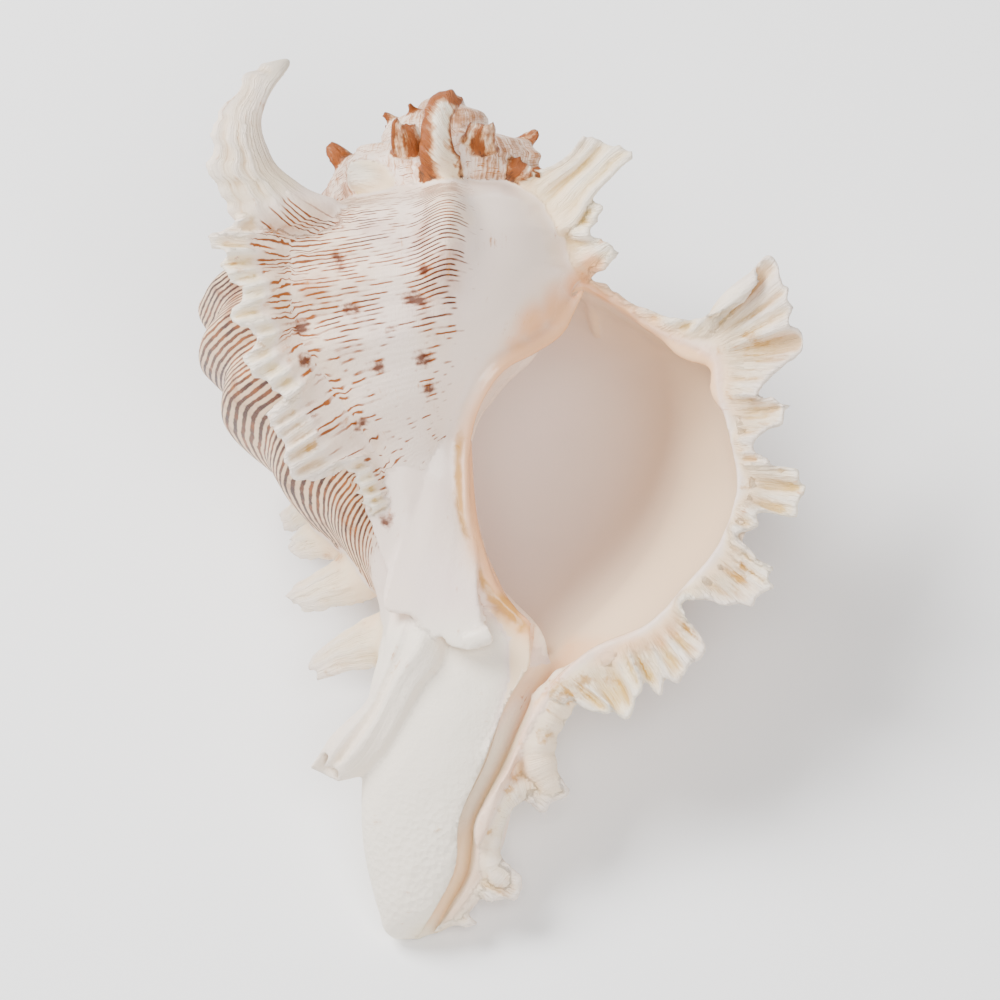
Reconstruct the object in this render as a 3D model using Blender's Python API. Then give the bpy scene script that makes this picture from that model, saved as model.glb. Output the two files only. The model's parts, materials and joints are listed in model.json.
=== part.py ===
"""A branched murex shell, lying on its back with the aperture up.

The shell grew as one piece, so it is one solid. Each whorl is one profile, turned round the axis and grown
by a constant factor. Three varices to a turn stand on it, each with a long spine at the shoulder and a row
of hollow fronds below. The last whorl and the canal under it are open.

Places are given on a grid that lies over the shell's front view: x to the right, y down, z towards the
viewer, all in grid steps. The axis leans back at the spire end.
"""

import math

import bmesh
import bpy
import numpy as np
from mathutils import Euler

# Driving dimensions
GRID_STEP = 0.000237  # metres in one step of the grid
GRID_MIDDLE = 500  # x and y of the grid's middle
APEX = (446.0, 80.0)  # x and y where the axis leaves the spire
AXIS_LEAN_BACK = math.radians(12.0)
AXIS_LEAN_SIDE = math.radians(1.2)
AXIS_FRONT_Y = 430.0  # the axis passes through depth 0 here
WHORL_GROWTH = 2.0  # each whorl is this much larger than the one before
LIP_ANGLE = -10.0  # degrees round the axis from the right-hand side, where growth stopped
WALL = 13.0
LIP_WALL = 8.0
LAST_WHORL_END = 318  # degrees back from the lip at which the last whorl's hollow ends
OLDER_WHORLS_START = 296  # and at which the solid older whorls begin
SPIRE_END = 1500
REST_TURN = (30.4, 3.9, 0.0)  # degrees about x, y and z, from the front view to the way the shell lies

# The solid's fineness
VOXEL = 0.0013
MOST_TRIANGLES = 9600

# The whorl's outline at the lip's size: distance from the axis and drop below the apex, suture to canal
WHORL_OUTLINE = (
    (120, 196), (165, 214), (212, 240), (250, 272), (270, 318), (275, 372), (264, 436),
    (232, 506), (176, 578), (120, 636), (82, 690), (62, 760), (50, 830),
)
# The flared outer lip's outline, from the suture to the canal
LIP_OUTLINE = (
    (150, 208), (192, 236), (234, 262), (284, 288), (294, 330), (306, 380), (312, 425),
    (294, 480), (262, 520), (222, 562), (160, 590), (112, 640), (72, 700),
)
# Degrees back from the lip, and the widening there of the plainly grown whorl
SWELLING = (
    (0, 1.0), (45, 1.08), (90, 1.14), (120, 1.19), (150, 1.24), (180, 1.25), (205, 1.22),
    (228, 1.14), (250, 1.02), (270, 0.97), (300, 0.94), (330, 0.95), (360, 1.0), (1800, 1.0),
)
# Of each varix: degrees back from the lip at the shoulder, how many more at the canal, and the height of
# its rib as a share of the radius
VARICES = (
    (118, 34, 0.05), (228, 0, 0.07), (352, 0, 0.06), (475, 0, 0.08), (590, 0, 0.10), (712, 0, 0.10),
)
# Degrees back from the lip and height of each knob between two varices
KNOBS = ((72, 0.14), (174, 0.05), (284, 0.09), (412, 0.10), (532, 0.10))
RIDGES = 9  # spiral ridges from the shoulder to the canal
RIDGE_HEIGHT = 0.014
COLUMELLA_RADIUS = 32.0
HOLLOW_FLOOR = 568.0  # how far below the apex the hollow's floor lies at the lip
HOLLOW_FLOOR_FALL = 60.0  # and how much deeper it lies further in, for a whorl of the lip's size
# The columella's radius where the lip ends, by drop below the apex
COLUMELLA = ((250, 32), (400, 34), (440, 40), (480, 50), (520, 68), (556, 98))

# The canal's cross-sections: y, middle x, middle z, half width and half depth
CANAL = (
    (600, 470, 20, 84, 60), (660, 462, 26, 88, 58), (720, 452, 30, 86, 52), (780, 440, 34, 78, 46),
    (840, 434, 34, 68, 40), (890, 430, 30, 54, 33), (932, 422, 24, 34, 22),
)
# The channel in the canal: y, the slit's x and half width, then the bore's x, z and radius
CHANNEL = (
    (560, 580, 24, 550, 18, 26), (640, 558, 17, 532, 16, 25), (700, 518, 10, 500, 22, 22),
    (765, 494, 14, 478, 26, 20), (820, 468, 8, 455, 26, 18), (870, 458, 7, 445, 24, 15),
    (925, 434, 7, 428, 20, 11), (950, 428, 7, 424, 18, 11),
)
CHANNEL_FRONT = 130.0  # how far forward the slit is cut
# The inner lip's sheet over the columella: y, left and right x, left and right z
INNER_LIP = (
    (440, 424, 472, 58, 40), (480, 414, 474, 54, 40), (520, 406, 478, 50, 46), (560, 400, 488, 52, 56),
    (600, 398, 508, 58, 64), (632, 402, 538, 62, 68), (660, 410, 520, 58, 66),
)


def place(x, y, z):
    """A place on the grid, in metres, with y turned upwards."""
    return np.array([x - GRID_MIDDLE, GRID_MIDDLE - y, z], float) * GRID_STEP


def axis_frame():
    """The apex and the directions right, up the axis, and out to the front."""
    up = np.array([
        math.sin(AXIS_LEAN_SIDE),
        math.cos(AXIS_LEAN_SIDE) * math.cos(AXIS_LEAN_BACK),
        -math.sin(AXIS_LEAN_BACK),
    ])
    up /= np.linalg.norm(up)
    right = np.array([1.0, 0.0, 0.0]) - up[0] * up
    right /= np.linalg.norm(right)
    front = np.cross(right, up)
    depth = (APEX[1] - AXIS_FRONT_Y) * math.tan(AXIS_LEAN_BACK)
    return place(APEX[0], APEX[1], depth), right, up, front


def on_whorl(growth, radius, drop):
    """The point this many degrees back from the lip, this far from the axis and below the apex."""
    apex, right, up, front = axis_frame()
    angle = np.radians(LIP_ANGLE + np.asarray(growth, float))[..., None]
    radius = np.asarray(radius, float)[..., None] * GRID_STEP
    drop = np.asarray(drop, float)[..., None] * GRID_STEP
    return apex - up * drop + (right * np.cos(angle) - front * np.sin(angle)) * radius


def ease(x):
    x = np.clip(x, 0.0, 1.0)
    return x * x * (3 - 2 * x)


def bump(x, middle, reach):
    return np.exp(-(((x - middle) / reach) ** 2))


def table(rows, x):
    """The value at x of the smooth curve through rows of (x, value)."""
    known, value = np.array(rows, float).T
    slope = np.gradient(value, known)
    x = np.clip(x, known[0], known[-1])
    i = np.clip(np.searchsorted(known, x, side="right") - 1, 0, len(known) - 2)
    width = known[i + 1] - known[i]
    u = (x - known[i]) / width
    start = (1 + 2 * u) * (1 - u) ** 2 * value[i] + u * (1 - u) ** 2 * width * slope[i]
    return start + u * u * (3 - 2 * u) * value[i + 1] - u * u * (1 - u) * width * slope[i + 1]


def smooth_path(points, count):
    """The points, joined by a smooth curve that passes through each of them, at this many even steps."""
    points = np.array(points, float)
    padded = np.vstack([2 * points[0] - points[1], points, 2 * points[-1] - points[-2]])
    t = np.linspace(0, len(points) - 1, count)
    i = np.minimum(t.astype(int), len(points) - 2)
    u = (t - i)[:, None]
    a, b, c, d = padded[i], padded[i + 1], padded[i + 2], padded[i + 3]
    return b + 0.5 * u * (c - a + u * (2 * a - 5 * b + 4 * c - d + u * (3 * (b - c) + d - a)))


def whorl_section(growth, count):
    """The outline (radius, drop) of the whorl this many degrees back from the lip."""
    size = WHORL_GROWTH ** (-growth / 360)
    outline = smooth_path(WHORL_OUTLINE, count) * size
    radius, drop = outline[:, 0], outline[:, 1]
    share = np.linspace(0, 1, count)
    shoulder = bump(drop / size, 300, 110)
    below_suture = ease((drop / size - 180) / 90)
    radius = radius * (1 + (table(SWELLING, growth) - 1) * below_suture)
    for middle, lean, height in VARICES:
        radius = radius * (1 + height * bump(growth, middle + lean * share, 7) * below_suture)
    for middle, height in KNOBS:
        radius = radius * (1 + height * bump(growth, middle, 10) * shoulder)
    ridges = np.cos(2 * math.pi * RIDGES * share) * ease(share * 5) * ease((1 - share) * 5)
    radius = radius * (1 + RIDGE_HEIGHT * ridges)
    lip = smooth_path(LIP_OUTLINE, count)
    flare = ease(1 - growth / 32)
    return radius + (lip[:, 0] - radius) * flare, drop + (lip[:, 1] - drop) * flare


def grid_faces(rows, columns, closed):
    """The quads of a grid of points, row by row, whose columns may close into a ring."""
    faces = []
    for i in range(rows - 1):
        for j in range(columns if closed else columns - 1):
            k = (j + 1) % columns
            faces.append((i * columns + j, i * columns + k, (i + 1) * columns + k, (i + 1) * columns + j))
    return faces


class Pieces:
    """The closed shapes that the shell is fused from."""

    def __init__(self):
        self.points = []
        self.faces = []

    def add(self, points, faces):
        start = len(self.points)
        self.points.extend(map(tuple, np.asarray(points, float).reshape(-1, 3)))
        self.faces.extend(tuple(start + i for i in face) for face in faces)

    def add_tube(self, rings):
        """Rings of points joined one to the next, with the first and last closed by a cap."""
        rows, columns = rings.shape[:2]
        faces = grid_faces(rows, columns, True)
        faces.append(tuple(range(columns)))
        faces.append(tuple(range((rows - 1) * columns, rows * columns))[::-1])
        self.add(rings, faces)

    def add_slab(self, top, bottom):
        """Two matching grids of points, joined round their edges into one closed sheet."""
        rows, columns = top.shape[:2]
        faces = grid_faces(rows, columns, False)
        far = rows * columns
        faces += [tuple(far + i for i in face[::-1]) for face in faces]
        edge = [j for j in range(columns)]
        edge += [i * columns + columns - 1 for i in range(1, rows)]
        edge += [(rows - 1) * columns + j for j in range(columns - 2, -1, -1)]
        edge += [i * columns for i in range(rows - 2, 0, -1)]
        for i, j in zip(edge, edge[1:] + edge[:1]):
            faces.append((i, far + i, far + j, j))
        self.add(np.concatenate([top.reshape(-1, 3), bottom.reshape(-1, 3)]), faces)

    def make_object(self, name):
        mesh = bpy.data.meshes.new(name)
        mesh.from_pydata(self.points, [], self.faces)
        made = bpy.data.objects.new(name, mesh)
        bpy.context.collection.objects.link(made)
        return made


def columella_radius(drop, growth):
    """The columella's radius, which widens towards the canal only near the lip."""
    return COLUMELLA_RADIUS + (table(COLUMELLA, drop) - COLUMELLA_RADIUS) * ease(1 - growth / 50)


def add_last_whorl(pieces):
    """The last whorl as a thick wall, open at the lip."""
    outline_count, axis_count = 30, 8
    growths = np.concatenate([np.linspace(0, 30, 9), np.linspace(36, LAST_WHORL_END, 48)])
    outer, inner = [], []
    for growth in growths:
        radius, drop = whorl_section(growth, outline_count)
        size = WHORL_GROWTH ** (-growth / 360)
        wall = LIP_WALL + (WALL - LIP_WALL) * ease(growth / 40)
        slope = np.stack([np.gradient(radius), np.gradient(drop)], 1)
        slope /= np.linalg.norm(slope, axis=1)[:, None]
        floor = (HOLLOW_FLOOR + HOLLOW_FLOOR_FALL * ease(growth / 90)) * size
        inner_drop = np.minimum(drop + slope[:, 0] * wall, floor)
        columella = columella_radius(inner_drop, growth)
        inner_radius = np.maximum(radius - slope[:, 1] * wall, columella + 1)
        axis_drop = np.linspace(inner_drop[-1], inner_drop[0], axis_count + 2)[1:-1]
        axis_radius = columella_radius(axis_drop, growth)
        outer_drop = np.linspace(drop[-1], drop[0], axis_count + 2)[1:-1]
        outer.append(on_whorl(
            np.full(outline_count + axis_count, growth),
            np.concatenate([radius, np.full(axis_count, 2.0)]),
            np.concatenate([drop, outer_drop]),
        ))
        inner.append(on_whorl(
            np.full(outline_count + axis_count, growth),
            np.concatenate([inner_radius, axis_radius]),
            np.concatenate([inner_drop, axis_drop]),
        ))
    pieces.add_tube(np.array(outer[::-1] + inner))


def add_older_whorls(pieces):
    """The whorls inside and above the last one, down to the tip of the spire."""
    outline_count, axis_count = 24, 4
    rings = []
    for growth in np.arange(OLDER_WHORLS_START, SPIRE_END, 8):
        radius, drop = whorl_section(growth, outline_count)
        axis_drop = np.linspace(drop[-1], drop[0], axis_count + 2)[1:-1]
        rings.append(on_whorl(
            np.full(outline_count + axis_count, growth),
            np.concatenate([radius, np.full(axis_count, 1.0)]),
            np.concatenate([drop, axis_drop]),
        ))
    pieces.add_tube(np.array(rings))


def add_canal(pieces):
    """The siphonal canal, still without its channel."""
    rings = []
    turn = np.linspace(0, 2 * math.pi, 24, endpoint=False)
    for y, x, z, half_width, half_depth in smooth_path(CANAL, 16):
        rings.append([place(x + half_width * math.cos(a), y, z + half_depth * math.sin(a)) for a in turn])
    pieces.add_tube(np.array(rings))


def add_inner_lip(pieces):
    """The sheet that the inner lip lays over the columella and on to the canal."""
    thickness = 16.0
    across = np.linspace(0, 1, 7)
    top, bottom = [], []
    for y, left, right, left_depth, right_depth in smooth_path(INNER_LIP, 14):
        crown = 10 * np.sin(math.pi * across)
        row = [place(left + (right - left) * s, y, left_depth + (right_depth - left_depth) * s + c)
               for s, c in zip(across, crown)]
        top.append(row)
        bottom.append(np.array(row) - [0, 0, thickness * GRID_STEP])
    pieces.add_slab(np.array(top), np.array(bottom))


def ring_of_slot(y, slit, slit_half, x, z, radius):
    """One section of the canal's channel: three quarters of the round bore, and the slit to the front."""
    turn = np.radians(np.linspace(115, 425, 16))
    neck = z + radius + 16
    ring = [place(x + radius * math.cos(a), y, z + radius * math.sin(a)) for a in turn]
    ring.append(place(slit + slit_half, y, neck))
    ring.append(place(slit + slit_half, y, CHANNEL_FRONT))
    ring.append(place(slit - slit_half, y, CHANNEL_FRONT))
    ring.append(place(slit - slit_half, y, neck))
    return ring


def channel_cutter():
    """The bore of the canal with the slit that opens it to the front, from the aperture to the tip."""
    pieces = Pieces()
    pieces.add_tube(np.array([ring_of_slot(*row) for row in smooth_path(CHANNEL, 26)]))
    cutter = pieces.make_object("channel_cutter")
    mesh = bmesh.new()
    mesh.from_mesh(cutter.data)
    bmesh.ops.recalc_face_normals(mesh, faces=mesh.faces)
    mesh.to_mesh(cutter.data)
    mesh.free()
    cutter.hide_render = True
    cutter.display_type = "WIRE"
    return cutter


def frond_direction(growth):
    """The way the shell grew at this angle, which is the side that a frond's channel opens to."""
    step = 0.5
    ahead = on_whorl(np.array(growth - step), np.array(100.0), np.array(0.0))
    behind = on_whorl(np.array(growth + step), np.array(100.0), np.array(0.0))
    return (ahead - behind) / np.linalg.norm(ahead - behind)


def add_frond(pieces, root, bend, tip, width, opens, tip_share=0.35, channel=0.35, thickness=9.0,
              taper=1.2):
    """A tapered, channelled blade from root to tip, bent towards the bend point.

    The places and sizes are in grid steps. The blade's channel opens along the direction opens.
    """
    root, bend, tip = place(*root), place(*bend), place(*tip)
    along_count, across_count = 9, 7
    u = np.linspace(0, 1, along_count)[:, None]
    v = np.linspace(-1, 1, across_count)
    middle = (1 - u) ** 2 * root + 2 * u * (1 - u) * bend + u ** 2 * tip
    forward = np.gradient(middle, axis=0)
    forward /= np.linalg.norm(forward, axis=1)[:, None]
    side = np.cross(forward, opens)
    side /= np.linalg.norm(side, axis=1)[:, None]
    face = np.cross(side, forward)
    half = width / 2 * GRID_STEP * (1 + (tip_share - 1) * u ** taper)
    lift = half * channel * 2
    sheet = (
        middle[:, None]
        + side[:, None] * (half * v)[..., None]
        + face[:, None] * (lift * (v ** 2 - 0.5))[..., None]
    )
    edge = (thickness * (1 - 0.35 * u) * np.ones_like(v) * GRID_STEP / 2)[..., None]
    pieces.add_slab(sheet + face[:, None] * edge, sheet - face[:, None] * edge)


def add_lip_fronds(pieces):
    """The shoulder spine and the frill of fronds round the outer lip."""
    opens = frond_direction(0)
    rows = (
        # root, bend, tip, width
        ((694, 352, 42), (776, 352, 56), (767, 260, 44), 92),
        ((716, 366, 44), (764, 366, 48), (804, 342, 48), 58),
        ((712, 350, 44), (768, 340, 50), (790, 306, 48), 50),
        ((726, 392, 46), (752, 404, 52), (786, 404, 56), 34),
        ((738, 430, 48), (756, 432, 52), (772, 430, 56), 40),
        ((742, 478, 50), (772, 484, 58), (804, 490, 58), 52),
        ((730, 530, 50), (746, 532, 54), (758, 530, 58), 40),
        ((716, 560, 50), (738, 576, 58), (766, 584, 62), 52),
        ((690, 584, 52), (716, 596, 58), (740, 602, 66), 46),
        ((668, 618, 52), (690, 632, 62), (702, 652, 66), 44),
        ((650, 640, 52), (668, 660, 60), (678, 682, 66), 38),
        ((622, 652, 52), (638, 676, 60), (646, 696, 62), 44),
        ((596, 660, 52), (612, 690, 60), (620, 716, 62), 44),
        ((566, 668, 50), (580, 690, 58), (588, 708, 58), 40),
    )
    for root, bend, tip, width in rows:
        add_frond(pieces, root, bend, tip, width, opens)


def add_canal_fronds(pieces):
    """The frill on the right-hand wall of the canal."""
    opens = np.array([-0.4, 0.1, 0.9])
    rows = (
        ((528, 716, 52), (548, 706, 62), (562, 716, 64), 40),
        ((520, 748, 52), (544, 762, 62), (564, 790, 62), 44),
        ((496, 786, 50), (530, 784, 60), (548, 806, 60), 40),
        ((488, 840, 48), (498, 858, 54), (516, 878, 54), 44),
        ((470, 876, 42), (490, 890, 50), (508, 896, 50), 34),
        ((452, 896, 38), (462, 908, 44), (472, 922, 44), 28),
    )
    for root, bend, tip, width in rows:
        add_frond(pieces, root, bend, tip, width, opens, thickness=10.0)


def varix_root(varix, share, sunk=12.0):
    """The place on a varix's crest this share of the way down the outline, sunk into the wall."""
    middle, lean, _ = VARICES[varix]
    growth = middle + lean * share
    radius, drop = whorl_section(growth, 101)
    row = round(share * 100)
    point = on_whorl(np.array(float(growth)), radius[row] - sunk, drop[row]) / GRID_STEP
    return point[0] + GRID_MIDDLE, GRID_MIDDLE - point[1], point[2]


def add_second_varix(pieces):
    """The long spine at the upper left and the knobs and fronds down the left-hand edge."""
    opens = frond_direction(228)
    add_frond(
        pieces, varix_root(1, 0.25, 30), (188, 140, 150), (288, 64, 92), 124, opens,
        tip_share=0.2, channel=0.2, thickness=12.0, taper=0.8,
    )
    rows = (
        # share down the outline, bend, tip, width
        (0.32, (236, 240, 128), (210, 237, 130), 42),
        (0.39, (242, 274, 136), (224, 262, 134), 44),
        (0.48, (252, 322, 136), (238, 316, 136), 48),
        (0.56, (266, 372, 132), (250, 364, 134), 50),
        (0.63, (288, 416, 122), (270, 416, 124), 50),
        (0.70, (312, 458, 116), (293, 478, 118), 68),
        (0.77, (338, 486, 96), (324, 482, 100), 38),
        (0.84, (372, 524, 70), (360, 532, 72), 38),
    )
    for share, bend, tip, width in rows:
        add_frond(pieces, varix_root(1, share), bend, tip, width, opens, channel=0.2, thickness=11.0)


def add_first_varix(pieces):
    """The long spine on the back and the fronds from there down to the canal, which carry the shell."""
    opens = frond_direction(130)
    add_frond(
        pieces, varix_root(0, 0.24, 20), (318, 306, -366), (304, 170, -322), 104, opens,
        tip_share=0.2, channel=0.25, thickness=12.0, taper=0.8,
    )
    rows = (
        # share down the outline, bend, tip, width
        (0.33, (316, 366, -296), (300, 346, -306), 50),
        (0.41, (304, 410, -290), (286, 400, -300), 52),
        (0.50, (298, 464, -266), (280, 466, -278), 54),
        (0.59, (300, 512, -196), (276, 524, -210), 54),
        (0.66, (312, 534, -130), (284, 554, -142), 62),
        (0.75, (330, 584, -98), (282, 604, -112), 66),
        (0.90, (350, 640, -50), (304, 676, -66), 66),
    )
    for share, bend, tip, width in rows:
        add_frond(pieces, varix_root(0, share), bend, tip, width, opens, thickness=11.0)


def add_third_varix(pieces):
    """The shoulder spine at the upper right and the short fronds under it."""
    opens = frond_direction(352)
    rows = (
        ((556, 214, 8), (590, 196, 44), (634, 146, 40), 70),
        ((552, 204, 4), (568, 172, 36), (594, 130, 34), 60),
        ((568, 226, 8), (590, 222, 30), (600, 210, 34), 34),
        ((572, 254, 10), (598, 258, 30), (612, 248, 36), 36),
    )
    for root, bend, tip, width in rows:
        add_frond(pieces, root, bend, tip, width, opens)


def add_spire_fronds(pieces):
    """The short spines of the oldest varices, round the spire."""
    rows = (
        ((444, 184, 0), (430, 130, 34), (448, 92, 10), 44, 630),
        ((410, 158, -20), (404, 140, -10), (396, 120, -16), 34, 590),
        ((476, 152, -30), (484, 136, -22), (493, 122, -30), 30, 712),
        ((504, 172, -16), (524, 166, -8), (540, 172, -12), 34, 712),
        ((384, 184, 20), (364, 178, 34), (342, 182, 30), 46, 590),
    )
    for root, bend, tip, width, growth in rows:
        add_frond(pieces, root, bend, tip, width, frond_direction(growth))


def add_old_canal(pieces):
    """The end of an earlier canal, an open trough that points down to the left."""
    opens = np.array([0.25, 0.1, 0.95])
    add_frond(
        pieces, (430, 610, 66), (392, 690, 74), (318, 762, 40), 84, opens,
        tip_share=0.5, channel=0.3, thickness=11.0,
    )
    add_frond(pieces, (400, 600, 92), (430, 640, 96), (486, 640, 92), 50, opens, thickness=10.0)


def shell_material():
    material = bpy.data.materials.new("shell")
    material.use_nodes = True
    shader = material.node_tree.nodes["Principled BSDF"]
    shader.inputs["Base Color"].default_value = (0.86, 0.79, 0.74, 1)
    shader.inputs["Roughness"].default_value = 0.4
    shader.inputs["Metallic"].default_value = 0.0
    return material


def apply_modifier(shell, modifier):
    bpy.context.view_layer.objects.active = shell
    bpy.ops.object.modifier_apply(modifier=modifier.name)


def drop_flakes(shell):
    """Deletes the few loose triangles that thinning leaves, and keeps the one large body."""
    mesh = bmesh.new()
    mesh.from_mesh(shell.data)
    left = set(mesh.verts)
    bodies = []
    while left:
        body, reach = set(), [left.pop()]
        while reach:
            vertex = reach.pop()
            body.add(vertex)
            joined = {edge.other_vert(vertex) for edge in vertex.link_edges} & left
            left -= joined
            reach.extend(joined)
        bodies.append(body)
    largest = max(bodies, key=len)
    flakes = [vertex for body in bodies if body is not largest for vertex in body]
    bmesh.ops.delete(mesh, geom=flakes, context="VERTS")
    mesh.to_mesh(shell.data)
    mesh.free()


def fuse(shell):
    """Fuses the overlapping shapes into one closed surface, cuts the channel and thins the faces."""
    fused = shell.modifiers.new("Fuse", "REMESH")
    fused.mode = "VOXEL"
    fused.voxel_size = VOXEL
    apply_modifier(shell, fused)
    cutter = channel_cutter()
    cut = shell.modifiers.new("Channel", "BOOLEAN")
    cut.operation = "DIFFERENCE"
    cut.object = cutter
    cut.solver = "EXACT"
    apply_modifier(shell, cut)
    bpy.data.objects.remove(cutter)
    thinned = shell.modifiers.new("Thin", "DECIMATE")
    triangles = sum(len(face.vertices) - 2 for face in shell.data.polygons)
    thinned.ratio = MOST_TRIANGLES / triangles
    thinned.use_collapse_triangulate = True
    apply_modifier(shell, thinned)
    drop_flakes(shell)


def build_shell():
    pieces = Pieces()
    add_last_whorl(pieces)
    add_older_whorls(pieces)
    add_canal(pieces)
    add_inner_lip(pieces)
    add_lip_fronds(pieces)
    add_canal_fronds(pieces)
    add_second_varix(pieces)
    add_first_varix(pieces)
    add_third_varix(pieces)
    add_spire_fronds(pieces)
    add_old_canal(pieces)
    shell = pieces.make_object("shell")
    shell.data.materials.append(shell_material())
    fuse(shell)
    return shell


def lay_down(shell):
    """Turns the shell from the front view to the way it lies, with the origin under its middle."""
    turn = Euler([math.radians(angle) for angle in REST_TURN]).to_matrix().to_4x4()
    shell.data.transform(turn)
    corners = np.array([vertex.co for vertex in shell.data.vertices])
    low, high = corners.min(axis=0), corners.max(axis=0)
    for vertex in shell.data.vertices:
        vertex.co.x -= (low[0] + high[0]) / 2
        vertex.co.y -= (low[1] + high[1]) / 2
        vertex.co.z -= low[2]


for old in list(bpy.data.objects):
    bpy.data.objects.remove(old)
murex = build_shell()
lay_down(murex)
murex.data.shade_smooth()
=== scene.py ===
import json
import math

import bpy
import numpy as np
from mathutils import Euler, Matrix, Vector, noise
from mathutils.bvhtree import BVHTree

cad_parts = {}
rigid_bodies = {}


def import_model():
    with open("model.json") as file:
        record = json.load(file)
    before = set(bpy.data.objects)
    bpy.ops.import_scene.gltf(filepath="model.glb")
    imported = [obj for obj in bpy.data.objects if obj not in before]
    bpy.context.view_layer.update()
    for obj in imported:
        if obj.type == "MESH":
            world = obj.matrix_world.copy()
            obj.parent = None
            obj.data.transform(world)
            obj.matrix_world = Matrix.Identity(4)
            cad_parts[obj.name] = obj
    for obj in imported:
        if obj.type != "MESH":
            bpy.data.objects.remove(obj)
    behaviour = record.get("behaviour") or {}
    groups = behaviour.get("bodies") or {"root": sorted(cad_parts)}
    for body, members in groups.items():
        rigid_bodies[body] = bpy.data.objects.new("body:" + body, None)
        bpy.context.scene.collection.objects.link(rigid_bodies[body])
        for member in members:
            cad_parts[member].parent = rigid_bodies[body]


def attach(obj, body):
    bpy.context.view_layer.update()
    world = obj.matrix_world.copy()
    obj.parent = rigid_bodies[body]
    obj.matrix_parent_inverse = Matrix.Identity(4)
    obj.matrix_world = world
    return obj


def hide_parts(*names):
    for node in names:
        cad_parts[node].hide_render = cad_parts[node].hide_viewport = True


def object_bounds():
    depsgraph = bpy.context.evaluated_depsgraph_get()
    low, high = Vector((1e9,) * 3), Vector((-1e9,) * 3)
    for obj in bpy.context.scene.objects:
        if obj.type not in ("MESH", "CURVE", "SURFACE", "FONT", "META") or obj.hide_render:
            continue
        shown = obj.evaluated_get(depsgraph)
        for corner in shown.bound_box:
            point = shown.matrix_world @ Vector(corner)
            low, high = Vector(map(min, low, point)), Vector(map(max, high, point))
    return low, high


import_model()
cadLow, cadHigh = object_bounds()
bpy.ops.object.select_all(action="DESELECT")
print("frame loaded")

# The shell is grown in code, not pulled out of a primitive: a spiral that shrinks by a constant factor
# can't be had from the edit mode tools. Places are on a grid over the shell's front view, x to the right,
# y down and z to the viewer, in grid steps. layDown puts them where the frame has the shell.
grid = {
    "step": 0.000237,  # metres
    "middle": 500,
    "restTurn": (30.4, 3.9, 0.0),  # degrees, from the front view to the way it lies
    "restShift": (-0.000773, -0.006888, 0.049438),  # metres, after the turn
}

whorls = {
    "apex": (446, 80),
    "leanBack": math.radians(12.0),
    "leanSide": math.radians(1.2),
    "axisFrontY": 430,  # the axis passes through depth 0 here
    "growth": 2.0,  # each whorl is this much larger than the one before
    "lipAngle": -10,
    "wall": 13,
    "lipWall": 8,
    "columella": 32,
    # distance from the axis and drop below the apex, suture to canal, at the lip's size
    "outline": ((120, 196), (165, 214), (212, 240), (250, 272), (270, 318), (275, 372), (264, 436),
                (232, 506), (176, 578), (120, 636), (82, 690), (62, 760), (50, 830)),
    "lipOutline": ((150, 208), (192, 236), (234, 262), (284, 288), (294, 330), (306, 380), (312, 425),
                   (294, 480), (262, 520), (222, 562), (160, 590), (112, 640), (72, 700)),
    # degrees back from the lip, and how much wider than plain growth
    "swelling": ((0, 1.0), (45, 1.08), (90, 1.14), (120, 1.19), (150, 1.22), (180, 1.22), (205, 1.20),
                 (228, 1.14), (250, 1.02), (270, 0.97), (300, 0.94), (330, 0.95), (360, 1.0), (1800, 1.0)),
    # degrees back, lean to the canal, height
    "varices": ((118, 34, 0.05), (228, 0, 0.07), (352, 0, 0.06), (475, 0, 0.08), (590, 0, 0.10),
                (712, 0, 0.10)),
    "varixWidth": 7,  # degrees
    "crestWidth": 16,
    "knobs": ((72, 0.14), (174, 0.05), (282, 0.23), (412, 0.10), (532, 0.10)),  # degrees back, height
    "knobWidth": 8.0,
    "shoulder": (300, 110),  # the knobs' drop and reach
    "flareStart": 32,  # degrees back, where the whorl begins to open into the lip
    "hollowFoot": (690, 62),  # how deep the hollow goes at the lip, and how much less further in
    "columellaFoot": ((250, 32), (400, 34), (440, 40), (480, 50), (520, 68), (556, 98)),
    "cords": 9,
    "cordHeight": 0.015,
    "boldCords": (178, 48),  # degrees back and reach
    "glazedFace": (305, 42),  # under the aperture's left edge, where the cords are faint
    "fineCords": 27,
    "fineHeight": 0.0030,
}


def ease(x):
    x = np.clip(x, 0.0, 1.0)
    return x * x * (3 - 2 * x)


def hump(x, middle, reach):
    return np.exp(-(((x - middle) / reach) ** 2))


def curveThrough(rows, x):  # smooth curve through rows of (x, value)
    known, value = np.array(rows, float).T
    slope = np.gradient(value, known)
    x = np.clip(x, known[0], known[-1])
    i = np.clip(np.searchsorted(known, x, side="right") - 1, 0, len(known) - 2)
    width = known[i + 1] - known[i]
    u = (x - known[i]) / width
    start = (1 + 2 * u) * (1 - u) ** 2 * value[i] + u * (1 - u) ** 2 * width * slope[i]
    return start + u * u * (3 - 2 * u) * value[i + 1] - u * u * (1 - u) * width * slope[i + 1]


def smoothPath(points, count):
    points = np.array(points, float)
    padded = np.vstack([2 * points[0] - points[1], points, 2 * points[-1] - points[-2]])
    t = np.linspace(0, len(points) - 1, count)
    i = np.minimum(t.astype(int), len(points) - 2)
    u = (t - i)[:, None]
    a, b, c, d = padded[i], padded[i + 1], padded[i + 2], padded[i + 3]
    return b + 0.5 * u * (c - a + u * (2 * a - 5 * b + 4 * c - d + u * (3 * (b - c) + d - a)))


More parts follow.
